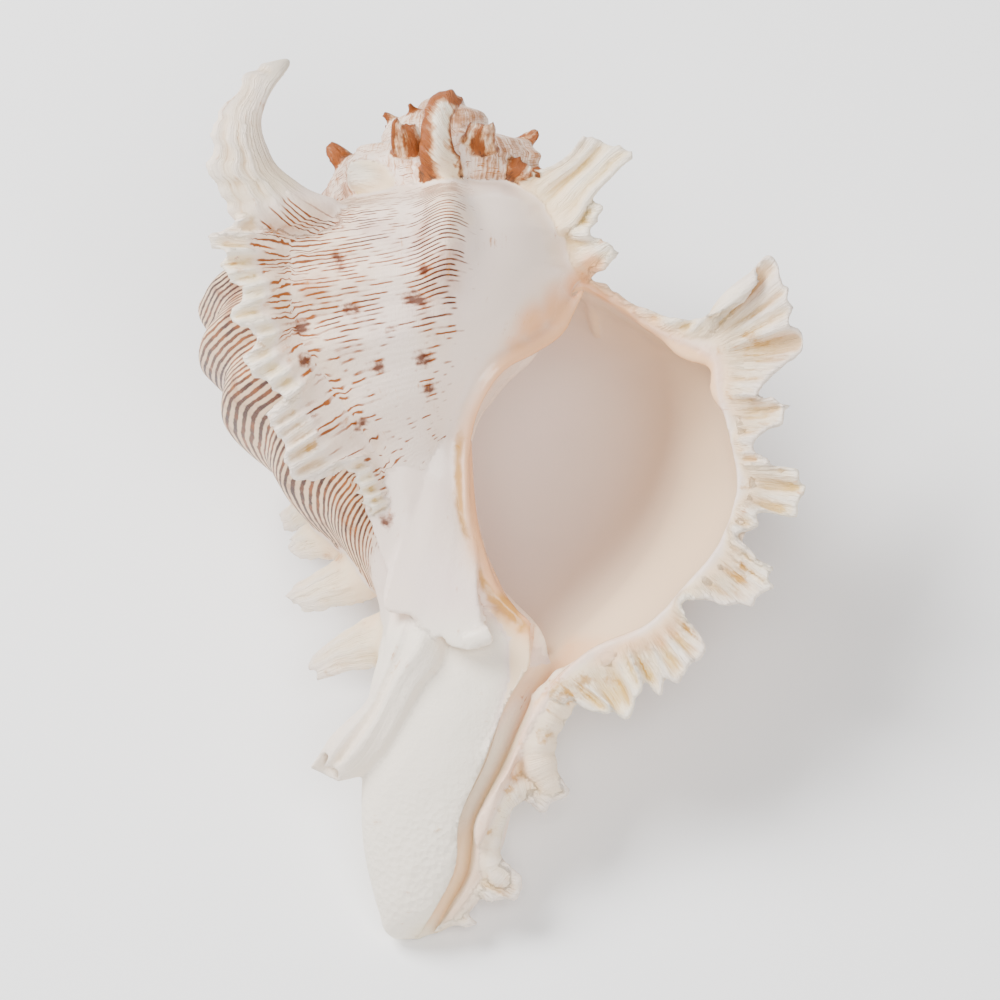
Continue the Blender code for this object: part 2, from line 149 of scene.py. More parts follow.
def evenPath(points, count, soft=4):  # evenly spaced by length, with the corners a little softened
    path = smoothPath(points, max(count * 2, len(points) * soft))
    length = np.concatenate([[0], np.cumsum(np.linalg.norm(np.diff(path, axis=0), axis=1))])
    at = np.linspace(0, length[-1], count)
    return np.stack([np.interp(at, length, path[:, k]) for k in range(path.shape[1])], 1)


def wobble(points, scale, seed):  # smooth noise from -1 to 1 at each point
    flat = np.asarray(points, float).reshape(-1, 3) / scale
    made = [noise.noise((x + seed, y - seed, z)) for x, y, z in flat]
    return np.array(made).reshape(np.asarray(points).shape[:-1])


def axisFrame():
    lean, side = whorls["leanBack"], whorls["leanSide"]
    up = np.array([math.sin(side), -math.cos(side) * math.cos(lean), -math.sin(lean)])
    up /= np.linalg.norm(up)
    right = np.array([1.0, 0, 0]) - up[0] * up
    right /= np.linalg.norm(right)
    front = np.cross(up, right)
    x, y = whorls["apex"]
    depth = (y - whorls["axisFrontY"]) * math.tan(lean)
    return np.array([x, y, depth]), right, up, front


apex, axisRight, axisUp, axisFront = axisFrame()


def onWhorl(growth, radius, drop):  # growth in degrees back from the lip
    angle = np.radians(whorls["lipAngle"] + np.asarray(growth, float))[..., None]
    radius = np.asarray(radius, float)[..., None]
    drop = np.asarray(drop, float)[..., None]
    return apex - axisUp * drop + (axisRight * np.cos(angle) - axisFront * np.sin(angle)) * radius


def whorlSection(growth, count, smooth=False):
    size = whorls["growth"] ** (-growth / 360)
    outline = smoothPath(whorls["outline"], count) * size
    radius, drop = outline[:, 0], outline[:, 1]
    share = np.linspace(0, 1, count)
    shoulder = hump(drop / size, *whorls["shoulder"])
    belowSuture = ease((drop / size - 180) / 90)
    radius = radius * (1 + (curveThrough(whorls["swelling"], growth) - 1) * belowSuture)
    if not smooth:
        crest = 0.0
        for middle, lean, height in whorls["varices"]:
            near = hump(growth, middle + lean * share, whorls["varixWidth"])
            crest = np.maximum(crest, hump(growth, middle + lean * share, whorls["crestWidth"]))
            radius = radius * (1 + height * near * belowSuture)
        for middle, height in whorls["knobs"]:
            radius = radius * (1 + height * hump(growth, middle, whorls["knobWidth"]) * shoulder)
        fade = ease(share * 5) * ease((1 - share) * 2.4) * ease(growth / 30)
        coarse = np.cos(2 * math.pi * whorls["cords"] * share) * whorls["cordHeight"]
        fine = np.cos(2 * math.pi * whorls["fineCords"] * share) * whorls["fineHeight"]
        calm = 1 - 0.75 * hump(growth, *whorls["glazedFace"])
        bold = 1 + 0.8 * crest + 1.5 * hump(growth, *whorls["boldCords"])
        radius = radius * (1 + (coarse * bold + fine) * fade * calm)
    lip = smoothPath(whorls["lipOutline"], count)
    flare = ease(1 - growth / whorls["flareStart"])
    return radius + (lip[:, 0] - radius) * flare, drop + (lip[:, 1] - drop) * flare


channels = ("growth", "share", "inner", "frond", "furrow", "tip", "brown", "sheet")


class Sheets:  # closed shapes, with what each point of them carries to the finished mesh
    def __init__(self):
        self.points, self.faces, self.values, self.count = [], [], [], 0

    def add(self, points, faces, values):
        points = np.asarray(points, float).reshape(-1, 3)
        row = np.zeros((len(points), len(channels)))
        for name, value in values.items():
            row[:, channels.index(name)] = np.broadcast_to(np.asarray(value, float), points.shape[:1])
        self.points.append(points)
        self.values.append(row)
        self.faces.extend(tuple(self.count + i for i in face) for face in faces)
        self.count += len(points)

    def tube(self, rings, values):
        rows, columns = rings.shape[:2]
        faces = gridFaces(rows, columns, True)
        faces.append(tuple(range(columns)))
        faces.append(tuple(range((rows - 1) * columns, rows * columns))[::-1])
        self.add(rings, faces, {k: np.broadcast_to(v, rings.shape[:2]).ravel() for k, v in values.items()})

    def slab(self, top, bottom, values):
        rows, columns = top.shape[:2]
        faces = gridFaces(rows, columns, False)
        far = rows * columns
        faces += [tuple(far + i for i in face[::-1]) for face in faces]
        edge = list(range(columns)) + [i * columns + columns - 1 for i in range(1, rows)]
        edge += [(rows - 1) * columns + j for j in range(columns - 2, -1, -1)]
        edge += [i * columns for i in range(rows - 2, 0, -1)]
        for i, j in zip(edge, edge[1:] + edge[:1]):
            faces.append((i, far + i, far + j, j))
        twice = {k: np.tile(np.broadcast_to(v, top.shape[:2]).ravel(), 2) for k, v in values.items()}
        self.add(np.concatenate([top.reshape(-1, 3), bottom.reshape(-1, 3)]), faces, twice)


def gridFaces(rows, columns, closed):
    faces = []
    for i in range(rows - 1):
        for j in range(columns if closed else columns - 1):
            k = (j + 1) % columns
            faces.append((i * columns + j, i * columns + k, (i + 1) * columns + k, (i + 1) * columns + j))
    return faces


def columellaRadius(drop, growth):
    plain = whorls["columella"]
    return plain + (curveThrough(whorls["columellaFoot"], drop) - plain) * ease(1 - growth / 50)


def growLastWhorl(sheets):
    outlineCount, axisCount = 180, 10
    growths = np.concatenate([np.linspace(0, 30, 21), np.linspace(31.5, 318, 192)])
    ringShare = np.concatenate([np.linspace(0, 1, outlineCount), np.full(axisCount, 1.0)])
    outer, inner = [], []
    atLip, lost = whorls["hollowFoot"]
    for growth in growths:
        radius, drop = whorlSection(growth, outlineCount)
        size = whorls["growth"] ** (-growth / 360)
        wall = whorls["lipWall"] + (whorls["wall"] - whorls["lipWall"]) * ease(growth / 40)
        outerDrop = np.linspace(drop[-1], drop[0], axisCount + 2)[1:-1]
        outer.append(onWhorl(np.full(outlineCount + axisCount, growth),
                             np.concatenate([radius, np.full(axisCount, 2.0)]),
                             np.concatenate([drop, outerDrop])))
        radius, drop = whorlSection(growth, outlineCount, smooth=True)
        slope = np.stack([np.gradient(radius), np.gradient(drop)], 1)
        slope /= np.linalg.norm(slope, axis=1)[:, None]
        innerDrop = drop + slope[:, 0] * wall
        narrow = radius - slope[:, 1] * wall < columellaRadius(innerDrop, growth) + 9
        narrow[: outlineCount // 2] = False
        floor = innerDrop[narrow].min(initial=(atLip - lost * ease(growth / 90)) * size)
        innerDrop = np.minimum(innerDrop, floor)
        innerRadius = np.maximum(radius - slope[:, 1] * wall, columellaRadius(innerDrop, growth) + 1)
        axisDrop = np.linspace(innerDrop[-1], innerDrop[0], axisCount + 2)[1:-1]
        inner.append(onWhorl(np.full(outlineCount + axisCount, growth),
                             np.concatenate([innerRadius, columellaRadius(axisDrop, growth)]),
                             np.concatenate([innerDrop, axisDrop])))
    rings = np.array(outer[::-1] + inner)
    turns = np.concatenate([growths[::-1], growths])[:, None] / 360
    inside = np.concatenate([np.zeros(len(growths)), np.ones(len(growths))])[:, None]
    sheets.tube(rings, {"growth": turns, "share": ringShare[None], "inner": inside,
                        "furrow": turns * 1400})


def growOlderWhorls(sheets):
    outlineCount, axisCount = 110, 4
    growths = np.arange(296, 1500, 3.0)
    rings = []
    for growth in growths:
        radius, drop = whorlSection(growth, outlineCount)
        axisDrop = np.linspace(drop[-1], drop[0], axisCount + 2)[1:-1]
        rings.append(onWhorl(np.full(outlineCount + axisCount, growth),
                             np.concatenate([radius, np.full(axisCount, 1.0)]),
                             np.concatenate([drop, axisDrop])))
    share = np.concatenate([np.linspace(0, 1, outlineCount), np.full(axisCount, 1.0)])
    brown = 0.42 * ease((growths - 400) / 160)[:, None]
    sheets.tube(np.array(rings), {"growth": growths[:, None] / 360, "share": share[None],
                                  "furrow": growths[:, None] * 1400 / 360, "brown": brown})


canal = {
    # y, middle x, middle z, half width, half depth
    "sections": ((560, 450, -12, 30, 24), (580, 450, 0, 44, 34), (604, 455, 6, 62, 44),
                 (626, 462, 11, 76, 50), (650, 464, 15, 84, 53), (690, 458, 22, 88, 54),
                 (735, 449, 29, 84, 51), (780, 440, 34, 78, 46), (840, 434, 34, 71, 40),
                 (890, 429, 30, 56, 34), (914, 424, 27, 44, 28), (929, 415, 23, 31, 19),
                 (939, 409, 20, 15, 9)),
    # y, the slit's x and half width, then the bore's x, z and radius
    "channel": ((560, 590, 26, 572, 22, 24), (640, 562, 19, 552, 28, 22), (700, 524, 16, 516, 42, 20),
                (735, 508, 15, 502, 44, 15), (765, 497, 15, 491, 44, 14), (820, 468, 9, 464, 42, 11),
                (870, 466, 10, 461, 36, 10), (925, 434, 7, 430, 26, 9), (950, 428, 7, 424, 22, 9)),
    "channelFront": 130,
    # the sheet that the inner lip lays over the columella: y, left x, right x, left z, right z
    "innerLip": ((440, 424, 472, 58, 40), (480, 414, 474, 54, 40), (520, 406, 478, 50, 46),
                 (560, 400, 488, 52, 56), (590, 400, 500, 50, 58), (606, 410, 512, 46, 56)),
    "innerLipThick": 16,
}


def growCanal(sheets):
    turn = np.linspace(0, 2 * math.pi, 72, endpoint=False)
    rings = []
    for y, x, z, halfWidth, halfDepth in smoothPath(canal["sections"], 90):
        across, deep = x + halfWidth * np.cos(turn), z + halfDepth * np.sin(turn)
        rings.append(np.stack([across, np.full(72, y), deep], 1))
    rings = np.array(rings)
    rings[..., 2] += 1.6 * wobble(rings, 26, 3.1)
    sheets.tube(rings, {"share": 1.0, "growth": 0.7, "furrow": rings[..., 1]})
    across = np.linspace(0, 1, 24)
    rows = smoothPath(canal["innerLip"], 60)
    top = [[(left + (right - left) * s, y, zLeft + (zRight - zLeft) * s + 10 * math.sin(math.pi * s))
            for s in across] for y, left, right, zLeft, zRight in rows]
    top = np.array(top)
    sheets.slab(top, top - [0, 0, canal["innerLipThick"]], {"share": 0.8, "growth": 0.82})


def channelCutter():
    turn = np.radians(np.linspace(115, 425, 24))
    rings = []
    for y, slit, slitHalf, x, z, radius in smoothPath(canal["channel"], 60):
        neck, front = z + radius + 16, canal["channelFront"]
        ring = [(x + radius * math.cos(a), y, z + radius * math.sin(a)) for a in turn]
        ring += [(slit + slitHalf, y, neck), (slit + slitHalf, y, front)]
        ring += [(slit - slitHalf, y, front), (slit - slitHalf, y, neck)]
        rings.append(ring)
    sheets = Sheets()
    sheets.tube(np.array(rings), {})
    return sheets


def matchAlong(inner, outer):  # for each point of the outer line, the place on the inner one it grows from
    apart = np.linalg.norm(outer[:, None, :2] - inner[None, :, :2], axis=2)
    nearest = apart.argmin(axis=1).astype(float)
    nearest = np.maximum.accumulate(nearest)
    nearest[0], nearest[-1] = 0, len(inner) - 1
    window = np.ones(25) / 25
    soft = np.convolve(np.pad(nearest, 12, mode="edge"), window, mode="valid")
    soft = (soft - soft[0]) / (soft[-1] - soft[0]) * (len(inner) - 1)
    whole = np.arange(len(inner))
    return np.stack([np.interp(soft, whole, inner[:, k]) for k in range(3)], 1)


# a thin curved sheet between two edges that have as many points
def leaf(sheets, edgeA, edgeB, columns, relief, thickness, facing=(0, 0, 1), serrate=0.0, softRows=9,
         **values):
    rows = len(edgeA)
    u, v = np.meshgrid(np.linspace(0, 1, rows), np.linspace(0, 1, columns), indexing="ij")
    edgeA, edgeB = np.array(edgeA, float), np.array(edgeB, float)
    sheet = edgeA[:, None] * (1 - v[..., None]) + edgeB[:, None] * v[..., None]
    if serrate:
        ragged = wobble(np.stack([v * 9, v * 0, v * 0 + edgeA[0, 0]], 2), 1, 0.5)
        back = serrate * u ** 3 * (0.5 + 0.5 * ragged)
        at = np.clip(u - back, 0, 1) * (rows - 1)
        low = np.minimum(at.astype(int), rows - 2)
        part = (at - low)[..., None]
        column = np.broadcast_to(np.arange(columns), at.shape)
        sheet = sheet[low, column] * (1 - part) + sheet[low + 1, column] * part
    normal = np.cross(np.gradient(sheet, axis=0), np.gradient(sheet, axis=1))
    window = np.ones(softRows) / softRows
    padded = np.pad(normal, ((softRows // 2, softRows // 2), (0, 0), (0, 0)), mode="edge")
    normal = np.apply_along_axis(lambda line: np.convolve(line, window, mode="valid"), 0, padded)
    normal /= np.linalg.norm(normal, axis=2)[..., None] + 1e-9
    if (normal.mean(axis=(0, 1)) @ np.array(facing, float)) < 0:
        normal = -normal
    sheet = sheet + normal * relief(u, v)[..., None]
    half = normal * (thickness(u, v) / 2)[..., None]
    sheets.slab(sheet + half, sheet - half,
                {"frond": 1.0, "sheet": 1.0, **{k: f(u, v) for k, f in values.items()}})


# a fluted blade from root to tip, bent towards the bend point, with its channel open along opens
def frond(sheets, root, bend, tip, width, opens, tipShare=0.4, bow=0.3, thick=9.0, taper=1.1, flutes=3,
          seed=0.0, brown=0.0):
    root, bend, tip = (np.array(p, float) for p in (root, bend, tip))
    rows, columns = 34, 26
    u = np.linspace(0, 1, rows)[:, None]
    middle = (1 - u) ** 2 * root + 2 * u * (1 - u) * bend + u ** 2 * tip
    forward = np.gradient(middle, axis=0)
    forward /= np.linalg.norm(forward, axis=1)[:, None]
    side = np.cross(forward, opens)
    side /= np.linalg.norm(side, axis=1)[:, None]
    half = width / 2 * (1 + (tipShare - 1) * u ** taper)
    along = np.concatenate([u * 7, u * 0, u * 0], 1)
    leftSide, rightSide = (1 + 0.16 * wobble(along, 1, start)[:, None] * ease(u * 2)
                           for start in (seed, seed + 9))

    def relief(u, v):
        s = 2 * v - 1
        channel = bow * 2 * half * (s ** 2 - 0.5)
        flute = 0.055 * half * np.cos(math.pi * flutes * s + seed) * (0.4 + u)
        return channel + flute

    leaf(sheets, middle + side * half * leftSide, middle - side * half * rightSide, columns, relief,
         lambda u, v: thick * (1 - 0.45 * u) * (1 - 0.3 * (2 * v - 1) ** 4), facing=opens, serrate=0.22,
         furrow=lambda u, v: (v - 0.5) * width + seed * 97, tip=lambda u, v: u,
         brown=lambda u, v: brown + 0 * u)


def growthWay(growth):
    ahead, behind = onWhorl(growth - 0.5, 100.0, 0.0), onWhorl(growth + 0.5, 100.0, 0.0)
    return (ahead - behind) / np.linalg.norm(ahead - behind)


def varixRoot(varix, share, sunk=12.0):
    middle, lean, _ = whorls["varices"][varix]
    radius, drop = whorlSection(middle + lean * share, 101, smooth=True)
    row = round(share * 100)
    return onWhorl(middle + lean * share, radius[row] - sunk, drop[row])


class Drape:  # the depth of the plain shell under a place on the front view
    def __init__(self, sheets):
        faces = [face for face in sheets.faces if len(face) <= 4]
        self.tree = BVHTree.FromPolygons(np.concatenate(sheets.points).tolist(), faces)
        self.faces, self.values = faces, np.concatenate(sheets.values)

    def depth(self, x, y, lift=0.0):
        hit = self.tree.ray_cast(Vector((x, y, 500)), Vector((0, 0, -1)))[0]
        return (hit.z if hit else 0.0) + lift

    def value(self, name, x, y):
        face = self.tree.ray_cast(Vector((x, y, 500)), Vector((0, 0, -1)))[2]
        return self.values[list(self.faces[face]), channels.index(name)].mean() if face is not None else 1.0

    def line(self, points, lift=0.0):
        return [(x, y, self.depth(x, y, lift)) for x, y in points]


def lengthAlong(line):
    return np.concatenate([[0], np.cumsum(np.linalg.norm(np.diff(line[:, :2], axis=0), axis=1))])


def waves(length, spacing, drift, driftLength):  # folds across an edge, with a spacing that drifts
    return np.cos(length * 2 * math.pi / spacing + drift * np.sin(length / driftLength))


# a ragged sheet from the line that it stands on to its outline
def frill(sheets, inner, outer, relief, thickness, seed, columns=30, tipStart=0.0, **values):
    root = matchAlong(inner, outer)
    reach = np.linalg.norm(outer - root, axis=1)[:, None]
    window = np.hanning(71) / np.hanning(71).sum()
    usual = np.convolve(np.pad(reach[:, 0], 35, mode="edge"), window, mode="valid")[:, None]
    channel = np.clip(reach - usual, -16, 16)
    outer = outer.copy()
    outer[:, :2] += 1.3 * np.stack([wobble(outer, 5, seed), wobble(outer, 5, seed + 6)], 1)
    outer[:, 2] += 6 * wobble(outer * [1, 1, 0], 16, seed + 3)
    length = lengthAlong(outer)[:, None]

    def folded(u, v):
        return relief(u, v, reach, length) - 0.6 * channel * ease((v - 0.1) / 0.6)

    leaf(sheets, root, outer, columns, folded, thickness, softRows=31,
         furrow=lambda u, v: length + 0 * v, tip=lambda u, v: tipStart + (1 - tipStart) * v, **values)


lip = {
    # the peach inner edge of the outer lip, then the frill's outline, both from the suture to the canal
    "innerEdge": ((600, 286), (615, 296), (635, 315), (660, 333), (677, 349), (694, 359), (715, 361),
                  (719, 368), (714, 380), (715, 398), (727, 411), (740, 422), (740, 441), (748, 466),
                  (753, 482), (742, 509), (737, 535), (731, 555), (717, 566), (706, 583), (690, 588),
                  (680, 594), (668, 616), (664, 636), (642, 641), (621, 645), (606, 660), (588, 664)),
    "outline": ((605, 282), (613, 291), (623, 299), (646, 309), (676, 319), (696, 319), (717, 314),
                (731, 307), (749, 295), (760, 279), (762, 263), (768, 257), (776, 263), (782, 286),
                (788, 288), (787, 302), (792, 307), (788, 324), (799, 329), (810, 339), (806, 349),
                (789, 361), (767, 382), (756, 400), (771, 397), (780, 404), (789, 404), (783, 409),
                (780, 425), (767, 429), (754, 445), (756, 454), (768, 459), (770, 466), (796, 469),
                (798, 482), (809, 486), (798, 500), (796, 513), (790, 517), (756, 512), (758, 526),
                (739, 534), (736, 537), (753, 553), (755, 562), (770, 566), (767, 578), (772, 586),
                (755, 596), (751, 606), (737, 603), (722, 605), (706, 600), (682, 601), (685, 617),
                (695, 628), (704, 641), (701, 655), (691, 662), (681, 675), (678, 683), (667, 678),
                (662, 673), (662, 689), (657, 694), (643, 680), (642, 689), (635, 698), (631, 712),
                (622, 718), (609, 703), (609, 711), (587, 709), (571, 698), (564, 703)),
    "rise": 14,  # how far the frill's edge stands in front of the rim
    "overlap": 9,
    "thick": 12,
    "edgeThick": 8,
    "bead": 6.0,
    "beadLift": -2.5,
    # spacing, drift of the spacing and its length, then depth
    "folds": (22, 3.2, 29),
    "foldDepth": 5.6,
    "ripples": (7.5, 1.7, 13),
    "rippleDepth": 1.7,
}


def growLip(sheets):
    radius, drop = whorlSection(0, 300, smooth=True)
    rim = onWhorl(np.zeros(300), radius - lip["overlap"], drop)
    last = np.linalg.norm(rim[:, :2] - (556, 700), axis=1).argmin()
    inner = rim[: last + 1]
    outer = evenPath(lip["outline"], 560, soft=3)
    root = matchAlong(inner, np.column_stack([outer, np.zeros(len(outer))]))
    reach = np.linalg.norm(outer - root[:, :2], axis=1)
    outer = np.column_stack([outer, root[:, 2] + lip["rise"] * ease(reach / 70)])

    def relief(u, v, reach, length):
        fold = waves(length, *lip["folds"]) * (0.75 + 0.35 * np.sin(length / 37))
        ripple = waves(length, *lip["ripples"])
        deep = np.minimum(reach / 26, 1) * ease((v - 0.12) / 0.36) * (1 - 0.4 * v)
        deep = deep * (1 - 0.6 * ease((reach - 55) / 30))  # the tall upper frond is smoother
        folds = lip["foldDepth"] * fold + lip["rippleDepth"] * ripple
        return -0.11 * reach * np.sin(math.pi * v) + folds * deep

    frill(sheets, inner, outer, relief,
          lambda u, v: lip["thick"] + (lip["edgeThick"] - lip["thick"]) * v, 1.0,
          frond=lambda u, v: ease(v / 0.22))
    edgeLine = evenPath(lip["innerEdge"], 106)
    edgeLine = np.stack([np.convolve(edgeLine[:, k], np.ones(7) / 7, mode="valid") for k in range(2)], 1)
    nearest = np.linalg.norm(edgeLine[:, None] - rim[None, :, :2], axis=2).argmin(axis=1)
    depth = np.convolve(np.pad(rim[nearest, 2], 9, mode="edge"), np.ones(19) / 19, mode="valid")
    beadLine = np.column_stack([edgeLine, depth + lip["beadLift"]])
    rod(sheets, beadLine, lip["bead"] * (1 + 0.25 * wobble(beadLine, 30, 8.0)), growth=0.0, inner=0.7)
    return beadLine


flounce = {
    # the white flounce of the second varix: where it leaves the shell, and its outline, both downwards
    "root": ((296, 212), (294, 236), (288, 262), (290, 300), (300, 342), (328, 384), (356, 424),
             (378, 462), (396, 498)),
    "outline": ((236, 214, 118), (228, 230, 128), (211, 237, 132), (214, 246, 133), (226, 254, 134),
                (225, 266, 136), (229, 277, 135), (240, 288, 133), (243, 302, 133), (234, 312, 138),
                (238, 324, 138), (251, 330, 134), (258, 345, 132), (248, 356, 137), (252, 372, 135),
                (268, 384, 128), (282, 400, 124), (271, 414, 128), (275, 430, 126), (286, 446, 120),
                (285, 456, 122), (291, 470, 120), (298, 480, 118), (312, 479, 112), (326, 478, 106),
                (343, 468, 96), (353, 474, 88), (360, 489, 82), (369, 506, 76), (375, 516, 72)),
    "lift": 7,
    "hornOut": ((312, 280, 78), (284, 258, 86), (262, 238, 96), (241, 226, 112), (229, 213, 120),
                (231, 206, 122), (223, 198, 124), (220, 186, 126), (213, 180, 128), (208, 167, 130),
                (214, 160, 131), (217, 150, 132), (213, 139, 131), (215, 130, 129), (221, 121, 126),
                (220, 115, 124), (229, 104, 118), (237, 98, 114), (243, 88, 110), (243, 80, 105),
                (249, 75, 102), (256, 75, 98), (264, 67, 95), (275, 64, 92), (286, 62, 90)),
    "hornIn": ((404, 232, 66), (378, 222, 68), (352, 214, 72), (336, 201, 78), (312, 193, 86),
               (294, 181, 94), (277, 166, 104), (269, 150, 112), (264, 136, 115), (263, 122, 116),
               (268, 105, 112), (275, 91, 106), (283, 80, 100), (288, 73, 95), (291, 68, 91),
               (292, 63, 90)),
    "folds": (16, 2.8, 23),
    "foldDepth": 4.6,
    "ripples": (6.5, 1.3, 11),
    "rippleDepth": 1.3,
    # the free lower end of the columella's sheet, which hangs over the neck of the canal
    "flapTop": ((376, 462), (408, 458), (445, 474), (470, 520)),
    "flapEnd": ((366, 508, 58), (374, 530, 60), (384, 560, 64), (392, 584, 68), (384, 600, 74),
                (389, 611, 76), (400, 613, 78), (412, 617, 80), (426, 629, 82), (434, 637, 84),
                (442, 635, 84), (448, 643, 85), (460, 648, 86), (472, 649, 87), (485, 643, 87),
                (484, 618, 80)),
    "curl": ((452, 640, 80), (466, 640, 85), (480, 637, 87), (491, 633, 87)),
    "curlRadii": (5, 8, 10, 10),
}


def growFlounce(sheets, drape):
    inner = np.array(drape.line(evenPath(flounce["root"], 240), -9.0))
    outer = evenPath(flounce["outline"], 460, soft=3)

    def relief(u, v, reach, length):
        fold = waves(length, *flounce["folds"]) * (0.8 + 0.3 * np.sin(length / 31))
        ripple = waves(length, *flounce["ripples"])
        swell = flounce["lift"] * np.sin(math.pi * np.clip(v, 0, 1) ** 0.8) * np.minimum(reach / 60, 1)
        folds = flounce["foldDepth"] * fold + flounce["rippleDepth"] * ripple
        return swell + folds * ease((v - 0.2) / 0.5)

    bands = np.array([drape.value("share", x, y) for x, y, z in matchAlong(inner, outer)])
    bands = np.convolve(np.pad(bands, 12, mode="edge"), np.ones(25) / 25, mode="valid")[:, None]
    frill(sheets, inner, outer, relief, lambda u, v: 13 - 7 * v, 2.0, columns=40, tipStart=0.15,
          frond=lambda u, v: ease((v - 0.40) / 0.45), share=lambda u, v: bands + 0 * v,
          growth=lambda u, v: 0.675 - 0.03 * v + 0 * u)


def growHorn(sheets, drape):
    hornOut, hornIn = evenPath(flounce["hornOut"], 130), evenPath(flounce["hornIn"], 130)
    hornOut[:, :2] += 1.4 * np.stack([wobble(hornOut, 6, 3.0), wobble(hornOut, 6, 9.0)], 1)
    width = np.linalg.norm(hornOut - hornIn, axis=1)[:, None]
    for side in (hornOut, hornIn):  # sunk into the shoulder at its foot
        for row in range(30):
            foot = drape.depth(side[row, 0], side[row, 1], -12)
            if foot > 0:
                side[row, 2] = foot + (side[row, 2] - foot) * ease((row - 4) / 26)

    def hornRelief(u, v):
        flute = np.cos(2 * math.pi * (v * 4.5 + 0.35 * np.sin(u * 9)))
        fine = np.cos(2 * math.pi * (v * 11 + 0.5 * np.sin(u * 7)))
        swell = 0.20 * width * np.sin(math.pi * v) * ease(u * 3)
        return swell + (3.2 * flute * (1 - v) + 0.8 * fine) * ease(u * 3) * np.sin(math.pi * v)

    leaf(sheets, hornOut, hornIn, 50, hornRelief, lambda u, v: 15 - 8 * u, softRows=21,
         furrow=lambda u, v: v * 90, tip=lambda u, v: 0.2 + 0.8 * u,
         frond=lambda u, v: ease((u - 0.30 + 0.1 * (1 - v)) / 0.30), growth=lambda u, v: 0.69 - 0.02 * u,
         share=lambda u, v: 0.03 + 0.18 * (1 - v) * (1 - 0.3 * u))


def growFlap(sheets, drape):
    top = np.array(drape.line(evenPath(flounce["flapTop"], 80), -10.0))
    free = evenPath(flounce["flapEnd"], 80)
    free[:, :2] += 1.8 * np.stack([wobble(free, 9, 2.0), wobble(free, 9, 8.0)], 1)
    leaf(sheets, top, free, 30, lambda u, v: 5 * np.sin(math.pi * v) + 2.2 * np.sin(u * 17) * v ** 3,
         lambda u, v: 12 - 6 * v, tip=lambda u, v: v * 0.8, furrow=lambda u, v: u * 110,
         frond=lambda u, v: 0.1 * v, share=lambda u, v: 0.8 + 0 * u, growth=lambda u, v: 0.8 + 0 * u)
    rod(sheets, flounce["curl"], flounce["curlRadii"], 0.75, frond=0.2, tip=0.8, share=0.8, growth=0.8)


thirdVarix = {
    # the spine at the upper right, and the small frill under it down to the suture
    "left": ((520, 190, 14), (530, 178, 18), (541, 171, 22), (556, 164, 28), (567, 156, 32),
             (576, 146, 35), (584, 133, 36), (589, 127, 36)),
    "right": ((560, 236, 34), (574, 226, 36), (584, 214, 38), (590, 203, 40), (598, 192, 42),
              (612, 178, 44), (625, 165, 45), (640, 156, 44), (648, 151, 42)),
    "frillRoot": ((560, 206), (566, 232), (570, 262), (584, 278)),
    "frillOutline": ((588, 204, 40), (597, 208, 42), (600, 213, 42), (596, 221, 40), (592, 229, 36),
                     (594, 238, 38), (603, 241, 40), (610, 244, 40), (613, 253, 40), (608, 264, 38),
                     (601, 271, 34)),
}


def growThirdVarix(sheets, drape):
    left, right = evenPath(thirdVarix["left"], 90), evenPath(thirdVarix["right"], 90)
    width = np.linalg.norm(left - right, axis=1)[:, None]

    def relief(u, v):
        seam = -4.5 * np.exp(-(((v - 0.42 + 0.1 * u) / 0.07) ** 2))
        fold = 2.4 * np.cos(2 * math.pi * v * 3 + 1) * ease(u * 2)
        return (-0.10 * width * np.sin(math.pi * v) + seam + fold) * ease(u * 4)

    leaf(sheets, left, right, 44, relief, lambda u, v: 13 - 6 * u, serrate=0.2,
         furrow=lambda u, v: v * 80, tip=lambda u, v: 0.2 + 0.8 * u)
    inner = np.array(drape.line(evenPath(thirdVarix["frillRoot"], 120), -6.0))
    outer = evenPath(thirdVarix["frillOutline"], 120)
    frill(sheets, inner, outer,
          lambda u, v, reach, length: 3 * np.sin(math.pi * v) + 1.8 * np.cos(length / 3.2) * v,
          lambda u, v: 13 - 6 * v, 4.0, columns=20, tipStart=0.2)


spire = {
    # the brown edged frond in the middle, with depths from the shell's surface at its foot
    "foot": (440, 172),
    "frondLeft": ((423, 184, -4), (421, 168, 6), (420, 150, 13), (421, 134, 14), (423, 119, 10),
                  (427, 106, 4), (434, 97, -4), (446, 91, -12)),
    "frondRight": ((462, 176, -6), (458, 160, 2), (453, 146, 8), (451, 132, 10), (452, 120, 7),
                   (458, 110, 1), (464, 101, -6), (463, 92, -12)),
    "fold": ((424, 182, 4), (436, 177, 7), (450, 168, 7), (461, 158, 4)),
    "foldRadii": (5, 6.5, 5.5, 3),
    # the lower fronds beside it: left edge, right edge, lift
    "knobs": ((((392, 156), (391, 138), (393, 121), (399, 118)),
               ((424, 152), (422, 138), (417, 128), (410, 124)), 4),
              (((462, 150), (464, 138), (468, 126), (476, 121)),
               ((498, 152), (495, 140), (496, 130), (492, 121)), 2),
              (((500, 172), (504, 166), (512, 160), (520, 160)),
               ((528, 186), (536, 180), (541, 173), (538, 166)), 2)),
    "spineRow": 24,  # of the outline's 101 rows, where the small spines stand
    "spineEvery": 40,  # degrees
}


